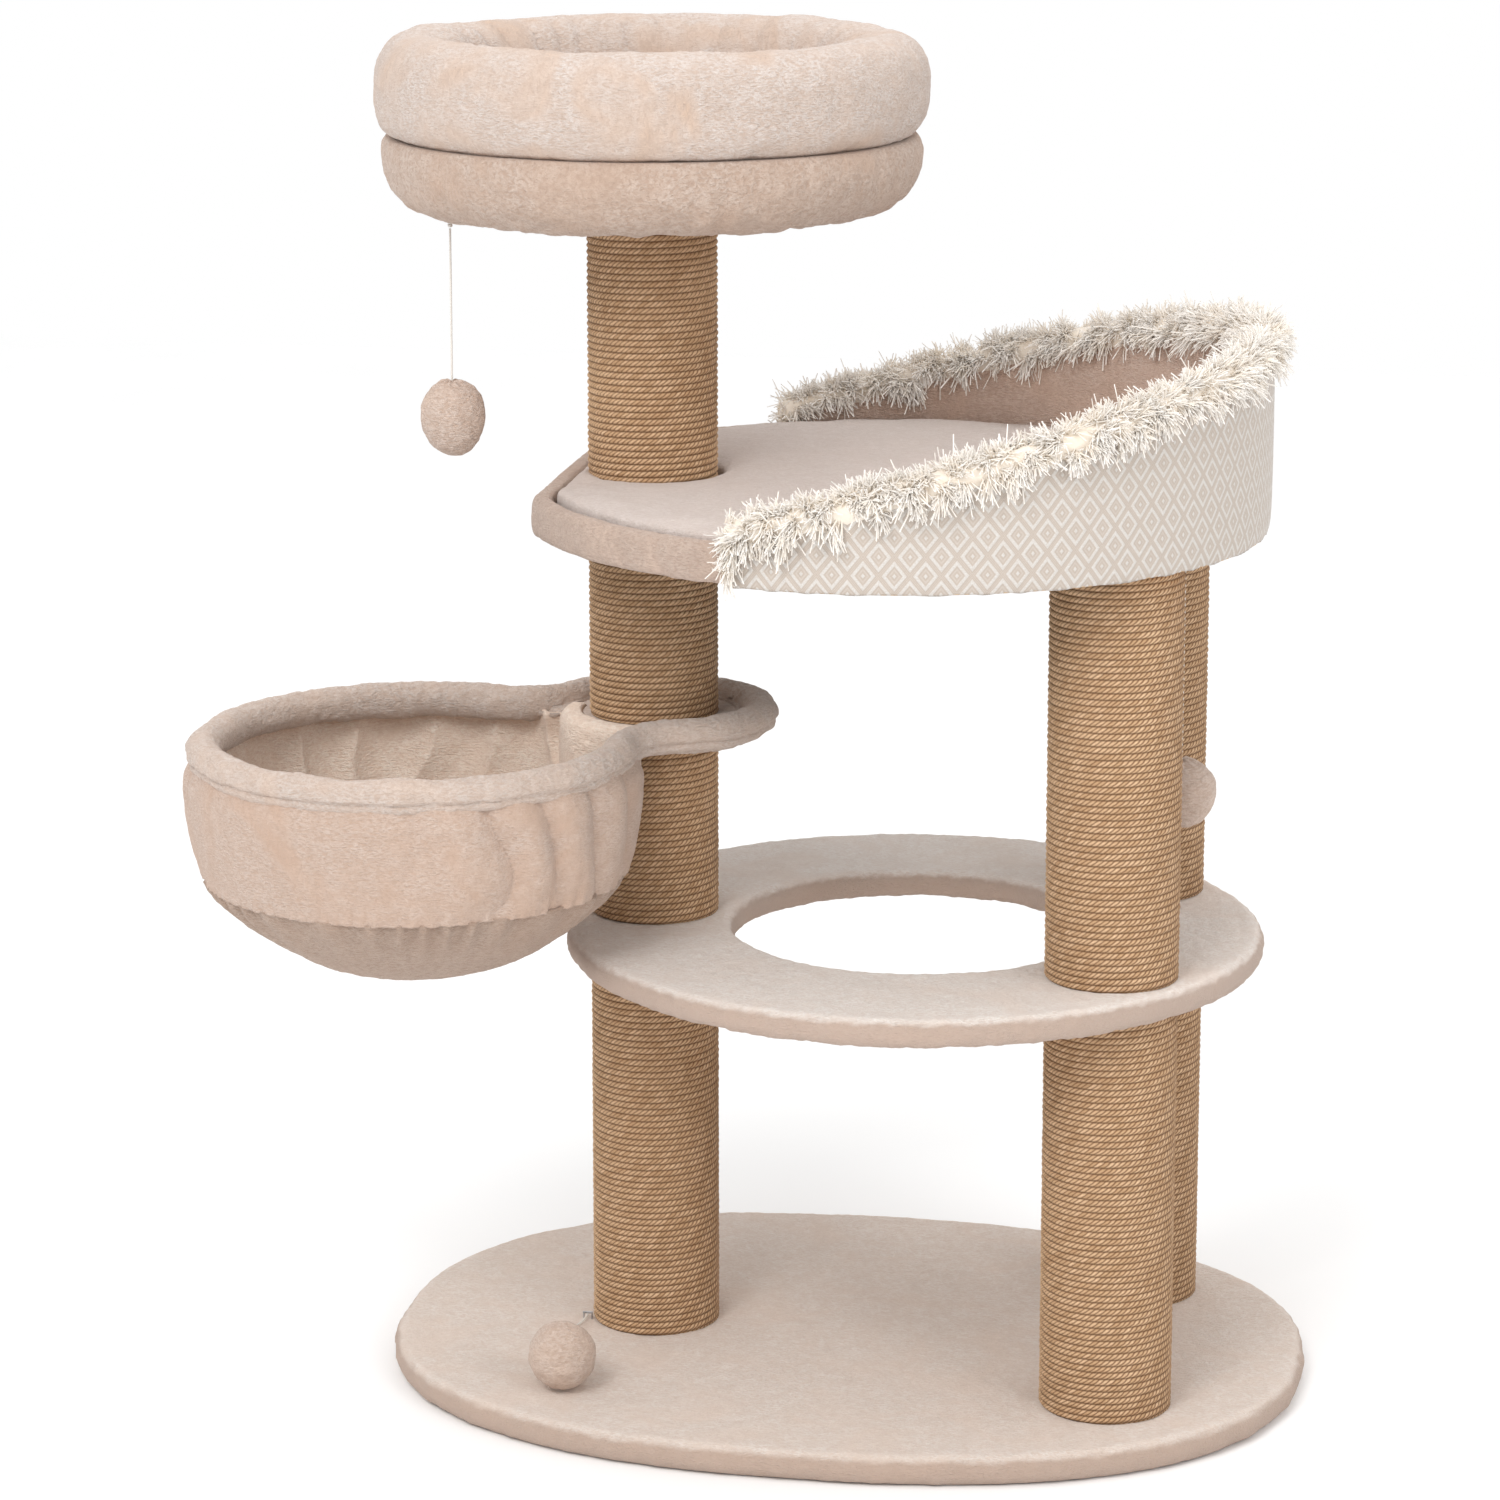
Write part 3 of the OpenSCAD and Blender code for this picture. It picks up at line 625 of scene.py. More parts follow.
CORD = 2 * MM
FLOOR_ROUTE = [
    (-247, -26, 33), (-247.5, -31, 32), (-249, -36, 30.5), (-251, -42, 29.5), (-253, -48, 29.5),
    (-255, -54, 29.5), (-256, -61, 29.5), (-257, -68, 29.5), (-257, -75, 29.5), (-256, -82, 29.5),
    (-254, -89, 29.5), (-251, -96, 29.5), (-248, -102, 29.5), (-244, -108, 29.5),
    (-240, -114, 29.5), (-236, -120, 29.5), (-233, -127, 29.5), (-231, -134, 29.5),
    (-230, -141, 29.5), (-230, -148, 29.5), (-231, -155, 30), (-232, -161, 32), (-233, -166, 35),
    (-233.5, -170, 39), (-234, -173, 43), (-234, -183, 50)]


def hanging_route(node, sunk):
    """A straight drop down the middle of a CAD cord, running on by sunk into its ball."""
    low, high = corners(node)
    x, y = round_place(node)[0]
    return [(x, y, z) for z in np.linspace(high[2], low[2] - sunk, 24)]


def cord_curve(name, route, radius):
    data = bpy.data.curves.new(name, "CURVE")
    data.dimensions = "3D"
    data.bevel_depth = radius
    data.bevel_resolution = 3
    data.use_fill_caps = True
    data.resolution_u = 4
    spline = data.splines.new("NURBS")
    spline.points.add(len(route) - 1)
    for point, place in zip(spline.points, route):
        point.co = (*place, 1)
    spline.use_endpoint_u = True
    spline.order_u = 4
    return add_object(name, data)


def toy_ball(name, node, neck, seed):
    """A stuffed plush ball, narrower and gathered where its cord enters at the neck direction."""
    low, high = corners(node)
    centre, half = (low + high) / 2, (high - low) / 2
    neck = np.array(neck, float) / np.linalg.norm(neck)
    around, rows = 200, 100
    polar = np.linspace(0.02, math.pi - 0.02, rows)[:, None]
    turn = angles(around)[None, :]
    side = np.cross(neck, (0.0, 1.0, 0.0) if abs(neck[2]) > 0.8 else (0.0, 0.0, 1.0))
    side /= np.linalg.norm(side)
    other = np.cross(neck, side)
    unit = (np.cos(polar)[..., None] * neck + np.sin(polar)[..., None]
            * (np.cos(turn)[..., None] * side + np.sin(turn)[..., None] * other))
    egg = 1 - 0.075 * smooth(1.3, 0.2, polar) + 0.02 * np.cos(2 * polar)
    waves = np.sin(turn * 9 + 1.5 * np.sin(turn * 2 + seed))
    gathers = 1 + 0.03 * smooth(0.75, 0.25, polar) * smooth(0.04, 0.25, polar) * waves
    dimple = 1 - 0.04 * smooth(0.35, 0.0, polar)
    shape = (egg * gathers * dimple)[..., None] * unit
    piece = skin(name, centre + shape * (half - 0.8 * MM))
    push_out(piece, plush_height(1.1, 1.2, seed=seed))
    return piece


cotton_cord = cotton("braided_cord")
toy_plush = plush("toy_plush", (214, 197, 186), (190, 165, 148), patchy=0.3)


def knot_piece(name, node):
    """A small overhand knot in the cord's end, wound as a trefoil."""
    low, high = corners(node)
    centre, reach = (low + high) / 2, (high[0] - low[0]) / 2
    t = angles(48)
    route = np.stack([np.sin(t) + 2 * np.sin(2 * t), np.cos(t) - 2 * np.cos(2 * t), -1.4 * np.sin(3 * t)], -1)
    thick = 0.42 * reach
    line = route / 3.0 * (reach - thick)
    ahead = np.roll(line, -1, 0) - np.roll(line, 1, 0)
    ahead /= np.linalg.norm(ahead, axis=1)[:, None]
    side = np.cross(ahead, line)
    side /= np.linalg.norm(side, axis=1)[:, None]
    other = np.cross(ahead, side)
    ring = angles(10)
    grid = (line[:, None] + thick * (np.cos(ring)[None, :, None] * side[:, None]
                                     + np.sin(ring)[None, :, None] * other[:, None]))
    piece = skin(name, centre + grid, join=True)
    piece.data.materials.append(cotton_cord)
    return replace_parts(piece, node)


def make_toy(name, route, neck, seed):
    """One toy's cord and ball, which ride on the body of the same name."""
    cord = cord_curve(f"{name}_string", route, CORD / 2)
    cord.data.materials.append(cotton_cord)
    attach(cord, name)
    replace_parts(cord, f"{name}_cord")
    ball = toy_ball(f"{name}_pompon", f"{name}_ball", neck, seed)
    ball.data.materials.append(toy_plush)
    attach(ball, name)
    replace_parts(ball, f"{name}_ball")


# How far each hanging cord runs on inside its ball
SUNK = 20 * MM
make_toy("high_toy", hanging_route("high_toy_cord", SUNK), (0, 0, 1), 3)
make_toy("low_toy", hanging_route("low_toy_cord", SUNK), (0, 0, 1), 11)
make_toy("floor_toy", [tuple(MM * value for value in point) for point in FLOOR_ROUTE],
         (0, 30, -17), 23)
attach(knot_piece("high_toy_tie", "high_toy_knot"), "high_knot")
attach(knot_piece("low_toy_tie", "low_toy_knot"), "low_knot")

make_studio()


# ---------- finishing a piece ----------

def fit_out(piece, material, slot, *nodes, body="tree"):
    """Gives a mesh its material and body, and hides the CAD nodes that it stands for; slot is not used."""
    piece.data.materials.clear()
    piece.data.materials.append(material)
    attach(piece, body)
    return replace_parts(piece, *nodes)


def evaluated(piece):
    """Swaps a piece's mesh for the one its modifiers make, and takes the modifiers off."""
    bpy.context.view_layer.update()
    made = bpy.data.meshes.new_from_object(piece.evaluated_get(bpy.context.evaluated_depsgraph_get()))
    piece.modifiers.clear()
    old, piece.data = piece.data, made
    bpy.data.meshes.remove(old)
    made.polygons.foreach_set("use_smooth", np.ones(len(made.polygons), bool))


FRAMES = 20


def inflate(piece, voxel, cap, pressure=4.0):
    """Swells a closed form as stuffing does, with no point moving further than cap, then divides it once."""
    even = piece.modifiers.new("even", "REMESH")
    even.mode = "VOXEL"
    even.voxel_size = voxel
    evaluated(piece)
    start = vertices(piece)
    scene = bpy.context.scene
    scene.frame_start = 1
    scene.frame_end = FRAMES
    cloth = piece.modifiers.new("stuffing", "CLOTH")
    cloth.settings.use_pressure = True
    cloth.settings.uniform_pressure_force = pressure
    cloth.settings.effector_weights.gravity = 0
    for number in range(1, FRAMES + 1):
        scene.frame_set(number)
    bpy.context.view_layer.update()
    now = piece.evaluated_get(bpy.context.evaluated_depsgraph_get())
    co = np.empty(len(start) * 3)
    now.data.vertices.foreach_get("co", co)
    move = co.reshape(-1, 3) - start
    far = np.linalg.norm(move, axis=1)
    piece.modifiers.clear()
    set_vertices(piece, start + move * (cap * np.tanh(far / cap) / np.maximum(far, 1e-9))[:, None])
    scene.frame_set(1)
    finer = piece.modifiers.new("finer", "SUBSURF")
    finer.levels = 1
    finer.render_levels = 1
    evaluated(piece)


# ---------- base, shelf and collar ----------

def superellipse_radius(angle, half, power):
    """Distance from the middle to a superellipse's edge along each angle."""
    c, s = np.abs(np.cos(angle)) / half[0], np.abs(np.sin(angle)) / half[1]
    return (c ** power + s ** power) ** (-1 / power)


BASE_POWER = 2.34
SHELF_HOLE = 0.168
COLLAR_HOLE = 8 * MM
# The pile of the flat covers, with painted shade on the faces that stand sideways at their edges
FLAT = {"lay": (1, 3, 3), "patchy": 0.35, "edge": (182, 157, 141)}
base_plush = plush("base_plush", (240, 231, 223), (220, 201, 187), **FLAT)
side_plush = plush("shelf_plush", (252, 246, 240), (232, 217, 206), **FLAT)


def make_base():
    """The base's cover: one closed skin, rounded at its edge and turned in underneath."""
    turn = angles(560)[None, :]
    thick = BASE_HIGH[2] - BASE_LOW[2]
    bend = thick / 2
    edge = superellipse_radius(turn, BASE_HALF, BASE_POWER)
    grid = [spin((0, 0), (edge - bend) * share, turn, thick) for share in np.linspace(0.004, 1, 76)]
    for a in np.radians(np.linspace(90, -90, 17))[1:]:
        grid.append(spin((0, 0), edge - bend + bend * math.cos(a), turn, bend + bend * math.sin(a)))
    for step, z in ((10, 0), (20, 0), (28, 0), (28, 3), (14, 3), (0, 3)):
        grid.append(spin((0, 0), edge - bend - step * MM, turn, z * MM))
    grid += [spin((0, 0), (edge - bend) * share, turn, thick - 6 * MM) for share in np.linspace(1, 0.01, 6)]
    piece = skin("base_plush_cover", np.concatenate(grid))
    fluff = plush_height(0.8, 0.6, (1, 1.6, 1), 5)

    def height(points):
        side = smooth(thick * 0.98, thick * 0.8, points[:, 2])
        outside = smooth(0.0, 3 * MM, points[:, 2])
        puckers = 0.7 * MM * lumps(points, (0.012, 0.012, 0.05), 9) * side
        return (fluff(points) * (1 + 0.5 * side) + puckers - 0.5 * MM) * outside
    push_out(piece, height)
    return fit_out(piece, base_plush, "plush", "base_cover")


def ring_cover(name, centre, inner, outer, low, high, bend, around, step, seed, pile=0.9):
    """A flat plush ring with soft round edges."""
    profile = rounded_profile(inner, outer, low, high, bend, step)
    turn = angles(around)[None, :]
    grid = spin(centre, profile[:, :1], turn, profile[:, 1:])
    piece = skin(name, grid, join=True)
    fluff = plush_height(pile, 0.7, (1, 1.5, 1), seed)

    def height(points):
        side = smooth(high - 0.5 * MM, high - 5 * MM, points[:, 2])
        return fluff(points) * (1 + 0.4 * side) - 0.4 * MM
    push_out(piece, height)
    return piece


def make_shelf():
    centre, radius = round_place("shelf_cover")
    piece = ring_cover("shelf_plush_cover", centre, SHELF_HOLE, radius, SHELF_LOW[2], SHELF_HIGH[2],
                       12 * MM, 620, 2.6 * MM, 17)
    return fit_out(piece, side_plush, "plush", "shelf_cover")


def make_collar():
    piece = ring_cover("collar_plush_cover", LEFT_POST, COLLAR_HOLE, COLLAR_RADIUS, COLLAR_LOW[2],
                       COLLAR_HIGH[2], 7 * MM, 220, 2.4 * MM, 29, 0.7)
    return fit_out(piece, rim_plush, "plush", "collar_cover")


# ---------- rope round the posts ----------

def make_rope(node, material):
    """One segment's winding as a closed sleeve, in turns of twisted strands."""
    low, high = corners(node)
    centre, outer = round_place(node)
    inner = outer - 6 * MM
    rows = int((high[2] - low[2]) / (ROPE_PITCH / 5)) + 1
    turn = angles(256)[None, :] - math.pi
    z = np.linspace(low[2], high[2], rows)[:, None]
    phase = z / ROPE_PITCH - turn / TURN
    number = np.floor(phase)
    across = phase - number - 0.5
    along = outer * (turn + TURN * number)
    strand = (along - across * ROPE_PITCH * STRAND_LEAN) / STRAND
    points = spin(centre, outer, turn, z)
    turn_lump = lumps(np.stack([along / 0.09, number * 3.7, along * 0], -1), 1.0, 41)
    height = 1.5 * MM * (np.cos(math.pi * across) ** 2 - 1)
    height = height + 0.45 * MM * (np.cos(math.pi * strand) ** 2 - 0.7)
    height = height + 0.25 * MM * turn_lump + 0.25 * MM * lumps(points, 0.004, 43)
    skin_grid = spin(centre, outer + height, turn, z)
    back = [spin(centre, inner, turn, np.full((1, 1), level)) for level in (high[2], low[2])]
    return fit_out(skin(node.replace("rope", "jute_winding"), np.concatenate([skin_grid, *back]), join=True),
                   material, "jute", node)


def make_ropes():
    for side, segments in POSTS:
        material = rope(f"jute_{side}", *round_place(f"{side}_rope_1"))
        for number in range(1, segments + 1):
            make_rope(f"{side}_rope_{number}", material)


# ---------- basket ----------

basket_plush = plush("basket_plush", (208, 189, 177), (188, 161, 143),
                     brushed=(192, 160, 138), patchy=0.75)
# A darker copy of the basket plush for the bottom panel: painted shade.
under_painted_shade_plush = plush("basket_under_painted_shade", (186, 166, 152), (160, 136, 120),
                    brushed=(165, 137, 118), patchy=0.6)
# A lighter copy of the basket plush for faces inside the bowl: painted light against its shade.
inside_painted_light_plush = plush("basket_inside_painted_light", (253, 240, 226), (232, 207, 188),
                     brushed=(236, 206, 182), patchy=0.5)
rim_plush = plush("rim_plush", (210, 198, 190), (192, 170, 155), patchy=0.35)


def rim_line(step=1.6 * MM):
    """The rim's peanut-shaped centre line round the basket and the post, and its outward directions."""
    to_post, to_basket = RIM_SMALL_RADIUS + WAIST_RADIUS, RIM_RADIUS + WAIST_RADIUS
    waist_x = (to_post ** 2 - to_basket ** 2 + BASKET_REACH ** 2) / (2 * BASKET_REACH)
    waist_y = math.sqrt(to_post ** 2 - waist_x ** 2)
    small_start = math.atan2(waist_y, waist_x)
    big_half = math.atan2(waist_y, waist_x - BASKET_REACH)
    basket_side = math.atan2(-waist_y, BASKET_REACH - waist_x)
    post_side = math.atan2(-waist_y, -waist_x)
    pieces = ((BASKET_REACH, 0, RIM_RADIUS, -big_half, big_half, 1),
              (waist_x, waist_y, WAIST_RADIUS, basket_side, post_side, -1),
              (0, 0, RIM_SMALL_RADIUS, small_start, TURN - small_start, 1),
              (waist_x, -waist_y, WAIST_RADIUS, -post_side, -basket_side, -1))
    line, out = [], []
    for x, y, radius, start, end, sign in pieces:
        t = np.linspace(start, end, int(abs(end - start) * radius / step), endpoint=False)
        ray = np.stack([np.cos(t), np.sin(t)], -1)
        line.append(np.array([x, y]) + radius * ray)
        out.append(sign * ray)
    line, out = np.concatenate(line), np.concatenate(out)
    c, s = math.cos(BASKET_ANGLE), math.sin(BASKET_ANGLE)
    turn = np.array([[c, -s], [s, c]])
    return LEFT_POST + line @ turn.T, out @ turn.T


def make_rim():
    """The plush tube over the wire, with the crease where its edges are sewn to the cloth."""
    line, out = rim_line()
    ring = angles(72)
    crease = -0.32
    radius = TUBE_RADIUS - 0.7 * MM
    shape = radius * (1 - 0.20 * np.exp(-((ring - TURN * (ring > math.pi) - crease) / 0.15) ** 2))
    grid = np.empty((len(line), len(ring), 3))
    sway = 0.9 * MM * lumps(np.stack([line[:, 0], line[:, 1], line[:, 0] * 0], -1), 0.05, 51)
    for k, angle in enumerate(ring):
        grid[:, k, :2] = line + out * (shape[k] * math.cos(angle))
        grid[:, k, 2] = RIM_Z + shape[k] * math.sin(angle) + sway
    piece = skin("basket_rim_tube", grid, join=True)
    push_out(piece, plush_height(1.3, 2.1, seed=53))
    return fit_out(piece, rim_plush, "plush", "basket_rim")


def post_limit(turn, clear):
    """Distance from the basket's middle, along each angle, to a circle of radius clear round the post."""
    off = turn - (BASKET_ANGLE - math.pi)
    off = (off + math.pi) % TURN - math.pi
    inside = clear ** 2 - (BASKET_REACH * np.sin(off)) ** 2
    near = BASKET_REACH * np.cos(off) - np.sqrt(np.maximum(inside, 0))
    return np.where((inside > 0) & (np.cos(off) > 0), near, 1.0)


def soft_least(a, b, blend):
    """The smaller of a and b, rounded off where they meet."""
    h = np.clip(0.5 + 0.5 * (b - a) / blend, 0, 1)
    return b + (a - b) * h - blend * h * (1 - h)


def folds(turn, share, seed):
    """Gathered cloth: round bulges between narrow creases, deepest near the post and at the back."""
    degrees = np.degrees(turn) % 360
    right = smooth(272, 300, degrees) + smooth(30, 8, degrees)
    back = smooth(25, 60, degrees) * smooth(215, 185, degrees)
    depth = 1.2 * MM + 11 * MM * np.clip(right, 0, 1) + 12 * MM * back
    around = np.stack([np.cos(turn) * 2.2 + 0 * share, np.sin(turn) * 2.2 + 0 * share, share * 1.2], -1)
    warp = lumps(around, 1.0, seed, 2)
    phase = turn * 9.0 + 1.6 * warp + 0.55 * np.sin(share * 2.6 + turn * 3)
    bulge = np.abs(np.sin(phase)) ** 0.8 - 0.7
    return depth * bulge


def make_bowl():
    """The hanging cloth: a side band gathered into the rim, and a sagging bottom panel sewn under it."""
    around = 560
    turn = angles(around)[None, :]
    thick = 3 * MM
    low, high = BOWL_SEAM_Z - 2 * MM, RIM_Z - 3 * MM
    seam_radius = BOWL_RADIUS - 13 * MM
    sag = BOWL_SEAM_Z - BOWL_LOW_Z
    dome = (seam_radius ** 2 + sag ** 2) / (2 * sag)
    seam_angle = math.asin(seam_radius / dome)

    def place(radius, z, inward, clear=1.5 * MM):
        limit = post_limit(turn, COLLAR_RADIUS + clear)
        reach = soft_least(radius, limit, 14 * MM) - inward
        return spin(BASKET, np.maximum(reach, 0.5 * MM), turn, z)

    def side_rows(inward, rows):
        grid = []
        for share in np.linspace(0, 1, rows):
            z = low + share * (high - low)
            belly = BOWL_RADIUS - 14 * MM * (1 - share) ** 2.5 - 8 * MM * smooth(0.78, 1.0, share)
            crease = folds(turn, np.full_like(turn, share), 61) * math.sin(math.pi * (0.15 + 0.60 * share))
            ruffle = 1.5 * MM * np.sin(turn * 92 + 3 * np.sin(turn * 7)) * math.exp(-share * 9)
            ruffle = ruffle * (0.4 + 0.6 * (lumps(spin((0, 0), 3.0, turn, share), 1.0, 63) > -0.1))
            clear = 1.5 * MM - 9 * MM * smooth(0.86, 1.0, share)
            grid.append(place(belly + crease + ruffle, z, inward, clear))
        return np.concatenate(grid)

    def bottom_rows(inward, rows):
        grid = []
        for share in np.linspace(0.012, 1, rows):
            a = share * seam_angle
            radius = (dome - inward) * math.sin(a)
            z = BOWL_LOW_Z + dome - (dome - inward) * math.cos(a)
            gather = 3.4 * MM * np.sin(turn * 37 + 4 * np.sin(turn * 5)) * smooth(0.60, 1.0, share)
            dent = 7.0 * MM * lumps(spin((0, 0), radius, turn, z), 0.06, 67) * share * (1 - share ** 6)
            tuck = 3.0 * MM * smooth(0.94, 1.0, share)
            drop = np.maximum(dent * math.cos(a) - gather * 0.4, BOWL_LOW_Z - z)
            grid.append(place(radius + (gather + dent * math.sin(a)) * share - tuck, z + drop, 0))
        return np.concatenate(grid)

    side = skin("basket_side_band", np.concatenate([side_rows(0, 84), side_rows(thick, 52)[::-1]]), join=True)
    bottom = skin("basket_bottom_panel", np.concatenate([bottom_rows(0, 84), bottom_rows(thick, 48)[::-1]]))
    for piece, seed in ((side, 71), (bottom, 73)):
        push_out(piece, plush_height(0.8, 0.5, (1, 1, 1.4), seed))
    fit_out(side, basket_plush, "plush", "basket_side")
    # The bottom panel takes the darker copy of the basket plush: painted shade.
    fit_out(bottom, under_painted_shade_plush, "plush", "basket_bottom")
    # Faces that look into the bowl take the lighter copy: painted light.
    side.data.materials.append(inside_painted_light_plush)
    faces = side.data.polygons
    normals, centres = np.empty(len(faces) * 3), np.empty(len(faces) * 3)
    faces.foreach_get("normal", normals)
    faces.foreach_get("center", centres)
    outward = (normals.reshape(-1, 3)[:, :2] * (centres.reshape(-1, 3)[:, :2] - BASKET)).sum(1)
    faces.foreach_set("material_index", (outward < 0).astype(np.int32))


def make_neck():
    """The cloth that closes the gap between the basket, the collar and the rim, on both sides of the post."""
    line = rim_line()[0]
    flat = line - LEFT_POST
    reach = np.linalg.norm(flat, axis=1)
    off = (np.arctan2(flat[:, 1], flat[:, 0]) - BASKET_ANGLE + math.pi) % TURN - math.pi
    start, bowl_end, end = math.radians(40), math.radians(47.5), math.radians(181)
    for name, sign in (("basket_neck_front", 1), ("basket_neck_back", -1)):
        angle = np.linspace(start, end, 240)
        chosen = off * sign > bowl_end - 0.02
        order = np.argsort(off[chosen] * sign)
        rim = np.interp(angle, (off[chosen] * sign)[order], reach[chosen][order])
        root = np.maximum((BOWL_RADIUS - 12 * MM) ** 2 - (BASKET_REACH * np.sin(angle)) ** 2, 0)
        bowl = BASKET_REACH * np.cos(angle) - np.sqrt(root) + 6 * MM
        outer = np.where(angle < bowl_end, bowl, rim)
        inner = 78 * MM
        across = np.linspace(0, 1, 34)
        radius = inner + (np.maximum(outer, inner + 4 * MM)[:, None] - inner) * across[None, :]
        dip = 5 * MM * np.sin(math.pi * across)[None, :] * smooth(inner, inner + 40 * MM, outer)[:, None]
        outer_z = RIM_Z - 5 * MM + 17 * MM * smooth(bowl_end, bowl_end + 0.15, angle)[:, None]
        rise = (outer_z - COLLAR_HIGH[2]) * smooth(0.15, 1.0, across)[None, :]
        top = COLLAR_HIGH[2] + 1.5 * MM + rise - dip
        turn = BASKET_ANGLE + sign * angle[:, None]
        upper = spin(LEFT_POST, radius, turn, top)
        lower = spin(LEFT_POST, radius, turn, top - 4 * MM)[:, ::-1]
        piece = skin(name, np.concatenate([upper, lower], 1))
        push_out(piece, plush_height(0.8, 0.6, seed=77))
        fit_out(piece, rim_plush, "plush")


# The tongue's outer face from the collar's top down: radius about the left post and height, in mm
TONGUE = [(69, 622.5), (74, 622.8), (79, 622.4), (83, 620.5), (86, 617), (87.6, 612), (88.2, 606),
          (88.4, 600), (88.5, 590), (88.6, 578), (88.8, 566), (89, 554), (89, 545)]


def make_tongue():
    """The cloth that runs from the collar's top, over its edge and down into the basket."""
    profile = np.array(TONGUE) * MM
    dense = np.linspace(0, len(profile) - 1, 70)
    r, z = (np.interp(dense, np.arange(len(profile)), profile[:, k]) for k in (0, 1))
    turn = BASKET_ANGLE + np.radians(np.linspace(-51, 51, 110))[:, None]
    slump = 2.5 * MM * np.sin((turn - BASKET_ANGLE) * 7 + 1.2) * smooth(0.0, 1.0, dense / len(profile))
    outer = spin(LEFT_POST, r + slump, turn, z)
    inner = spin(LEFT_POST, r + slump - 3 * MM, turn, z - 3 * MM * smooth(84 * MM, 72 * MM, r))[:, ::-1]
    piece = skin("basket_neck_tongue", np.concatenate([outer, inner], 1))
    push_out(piece, plush_height(0.9, 0.8, seed=79))
    # The tongue takes the lighter copy of the basket plush: painted light.
    fit_out(piece, inside_painted_light_plush, "plush")


# ---------- lounger ----------

lining_plush = plush("lining_plush", (217, 196, 183), (195, 166, 149), patchy=0.4)
seat_plush = plush("seat_plush", (230, 219, 213), (212, 197, 188),
                   brushed=(222, 206, 198), lay=(1, 3, 3), patchy=0.4)
lip_plush = plush("lip_plush", (197, 178, 165), (176, 153, 139), patchy=0.3)


def wall_top(points):
    """Height of the wall's sloping top edge at each point."""
    along = ((points[..., 0] - LOUNGER[0]) * math.cos(WALL_TURN)
             + (points[..., 1] - LOUNGER[1]) * math.sin(WALL_TURN))
    return WALL_MID_Z + WALL_SLOPE * along


def wall_angles(count, over=0.0):
    """Angles along the wall, running past each of its ends by over."""
    return np.linspace(WALL_TURN - WALL_HALF - over, WALL_TURN + WALL_HALF + over, count)


def diamond_height(turn, z):
    """Relief of the woven diamonds: raised pale lines and sunk sand-coloured ones."""
    across, up = turn * WALL_RADIUS / DIAMOND_WIDE, z / DIAMOND_HIGH
    edges = [np.abs((value - np.floor(value)) - 0.5) for value in (across + up, across - up)]
    reach = 2 * np.maximum(*edges)
    return 0.35 * MM * np.cos((reach - 0.65) * TURN / 0.65)


def make_outer_cloth():
    """The woven outer side: turned in under the wall and over its top edge."""
    count, rows = 900, 74
    turn = wall_angles(count, 0.004)
    edge = wall_top(spin(LOUNGER, WALL_RADIUS, turn, 0.0)) + 1 * MM
    share = np.linspace(0, 1, rows)
    low = LOUNGER_LOW - 0.3 * MM
    grid = []
    for k in range(count):
        z = low + (edge[k] - low) * share
        bulge = 1.2 * MM * np.sin(math.pi * share) ** 0.5
        tuck = 2.2 * MM * np.exp(-share * 26)
        r = WALL_RADIUS - 0.6 * MM + bulge - tuck + diamond_height(turn[k], z)
        outer = spin(LOUNGER, r, turn[k], z)
        inner = spin(LOUNGER, np.full(12, WALL_RADIUS - 3.4 * MM), turn[k], np.linspace(edge[k], low, 12))
        grid.append(np.concatenate([outer, inner]))
    grid = np.array(grid)
    grid[:, 0, 2] += 0.8 * MM * np.sin(turn * 47 + 2 * np.sin(turn * 11))
    piece = skin("lounger_jacquard", grid)
    return fit_out(piece, jacquard("jacquard"), "woven", "lounger_outer_cloth")


def make_lining():
    """The plush inner side of the wall, folded over its top and round its two ends."""
    count = 520
    turn = wall_angles(count, 0.010)
    top = wall_top(spin(LOUNGER, 0.33, turn, 0.0)) + 1.5 * MM
    outer, inner, back = WALL_RADIUS - 3.6 * MM, LINING_RADIUS, LINING_RADIUS + 4 * MM
    low = SEAT_Z + 1 * MM
    grid = []
    for k in range(count):
        closed = k < 5 or k >= count - 5
        rim_z = top[k]
        face = np.linspace(low, rim_z - 6 * MM, 60)
        section = [(inner - 2.5 * MM * math.sin(math.pi * share), z)
                   for share, z in zip(np.linspace(0, 1, 60), face)]
        bend = np.radians(np.linspace(180, 90, 8))[1:]
        section += [(inner + 6 * MM + 6 * MM * math.cos(a), rim_z - 6 * MM + 6 * MM * math.sin(a))
                    for a in bend]
        section.append((outer, rim_z))
        inside = outer if closed else back
        section += [(outer, rim_z - 3 * MM), (inside, rim_z - 3.5 * MM)]
        section += [(inside, z) for z in np.linspace(rim_z - 5 * MM, low, 12)]
        section = np.array(section)
        grid.append(spin(LOUNGER, section[:, 0], turn[k], section[:, 1]))
    piece = skin("lounger_plush_lining", np.array(grid))
    push_out(piece, plush_height(0.8, 0.8, (1, 1, 1.6), 81))
    return fit_out(piece, lining_plush, "plush", "lounger_lining")


def squared(wave, power):
    """A sine or cosine filled out, for a round section that is nearly square."""
    return np.sign(wave) * np.abs(wave) ** power


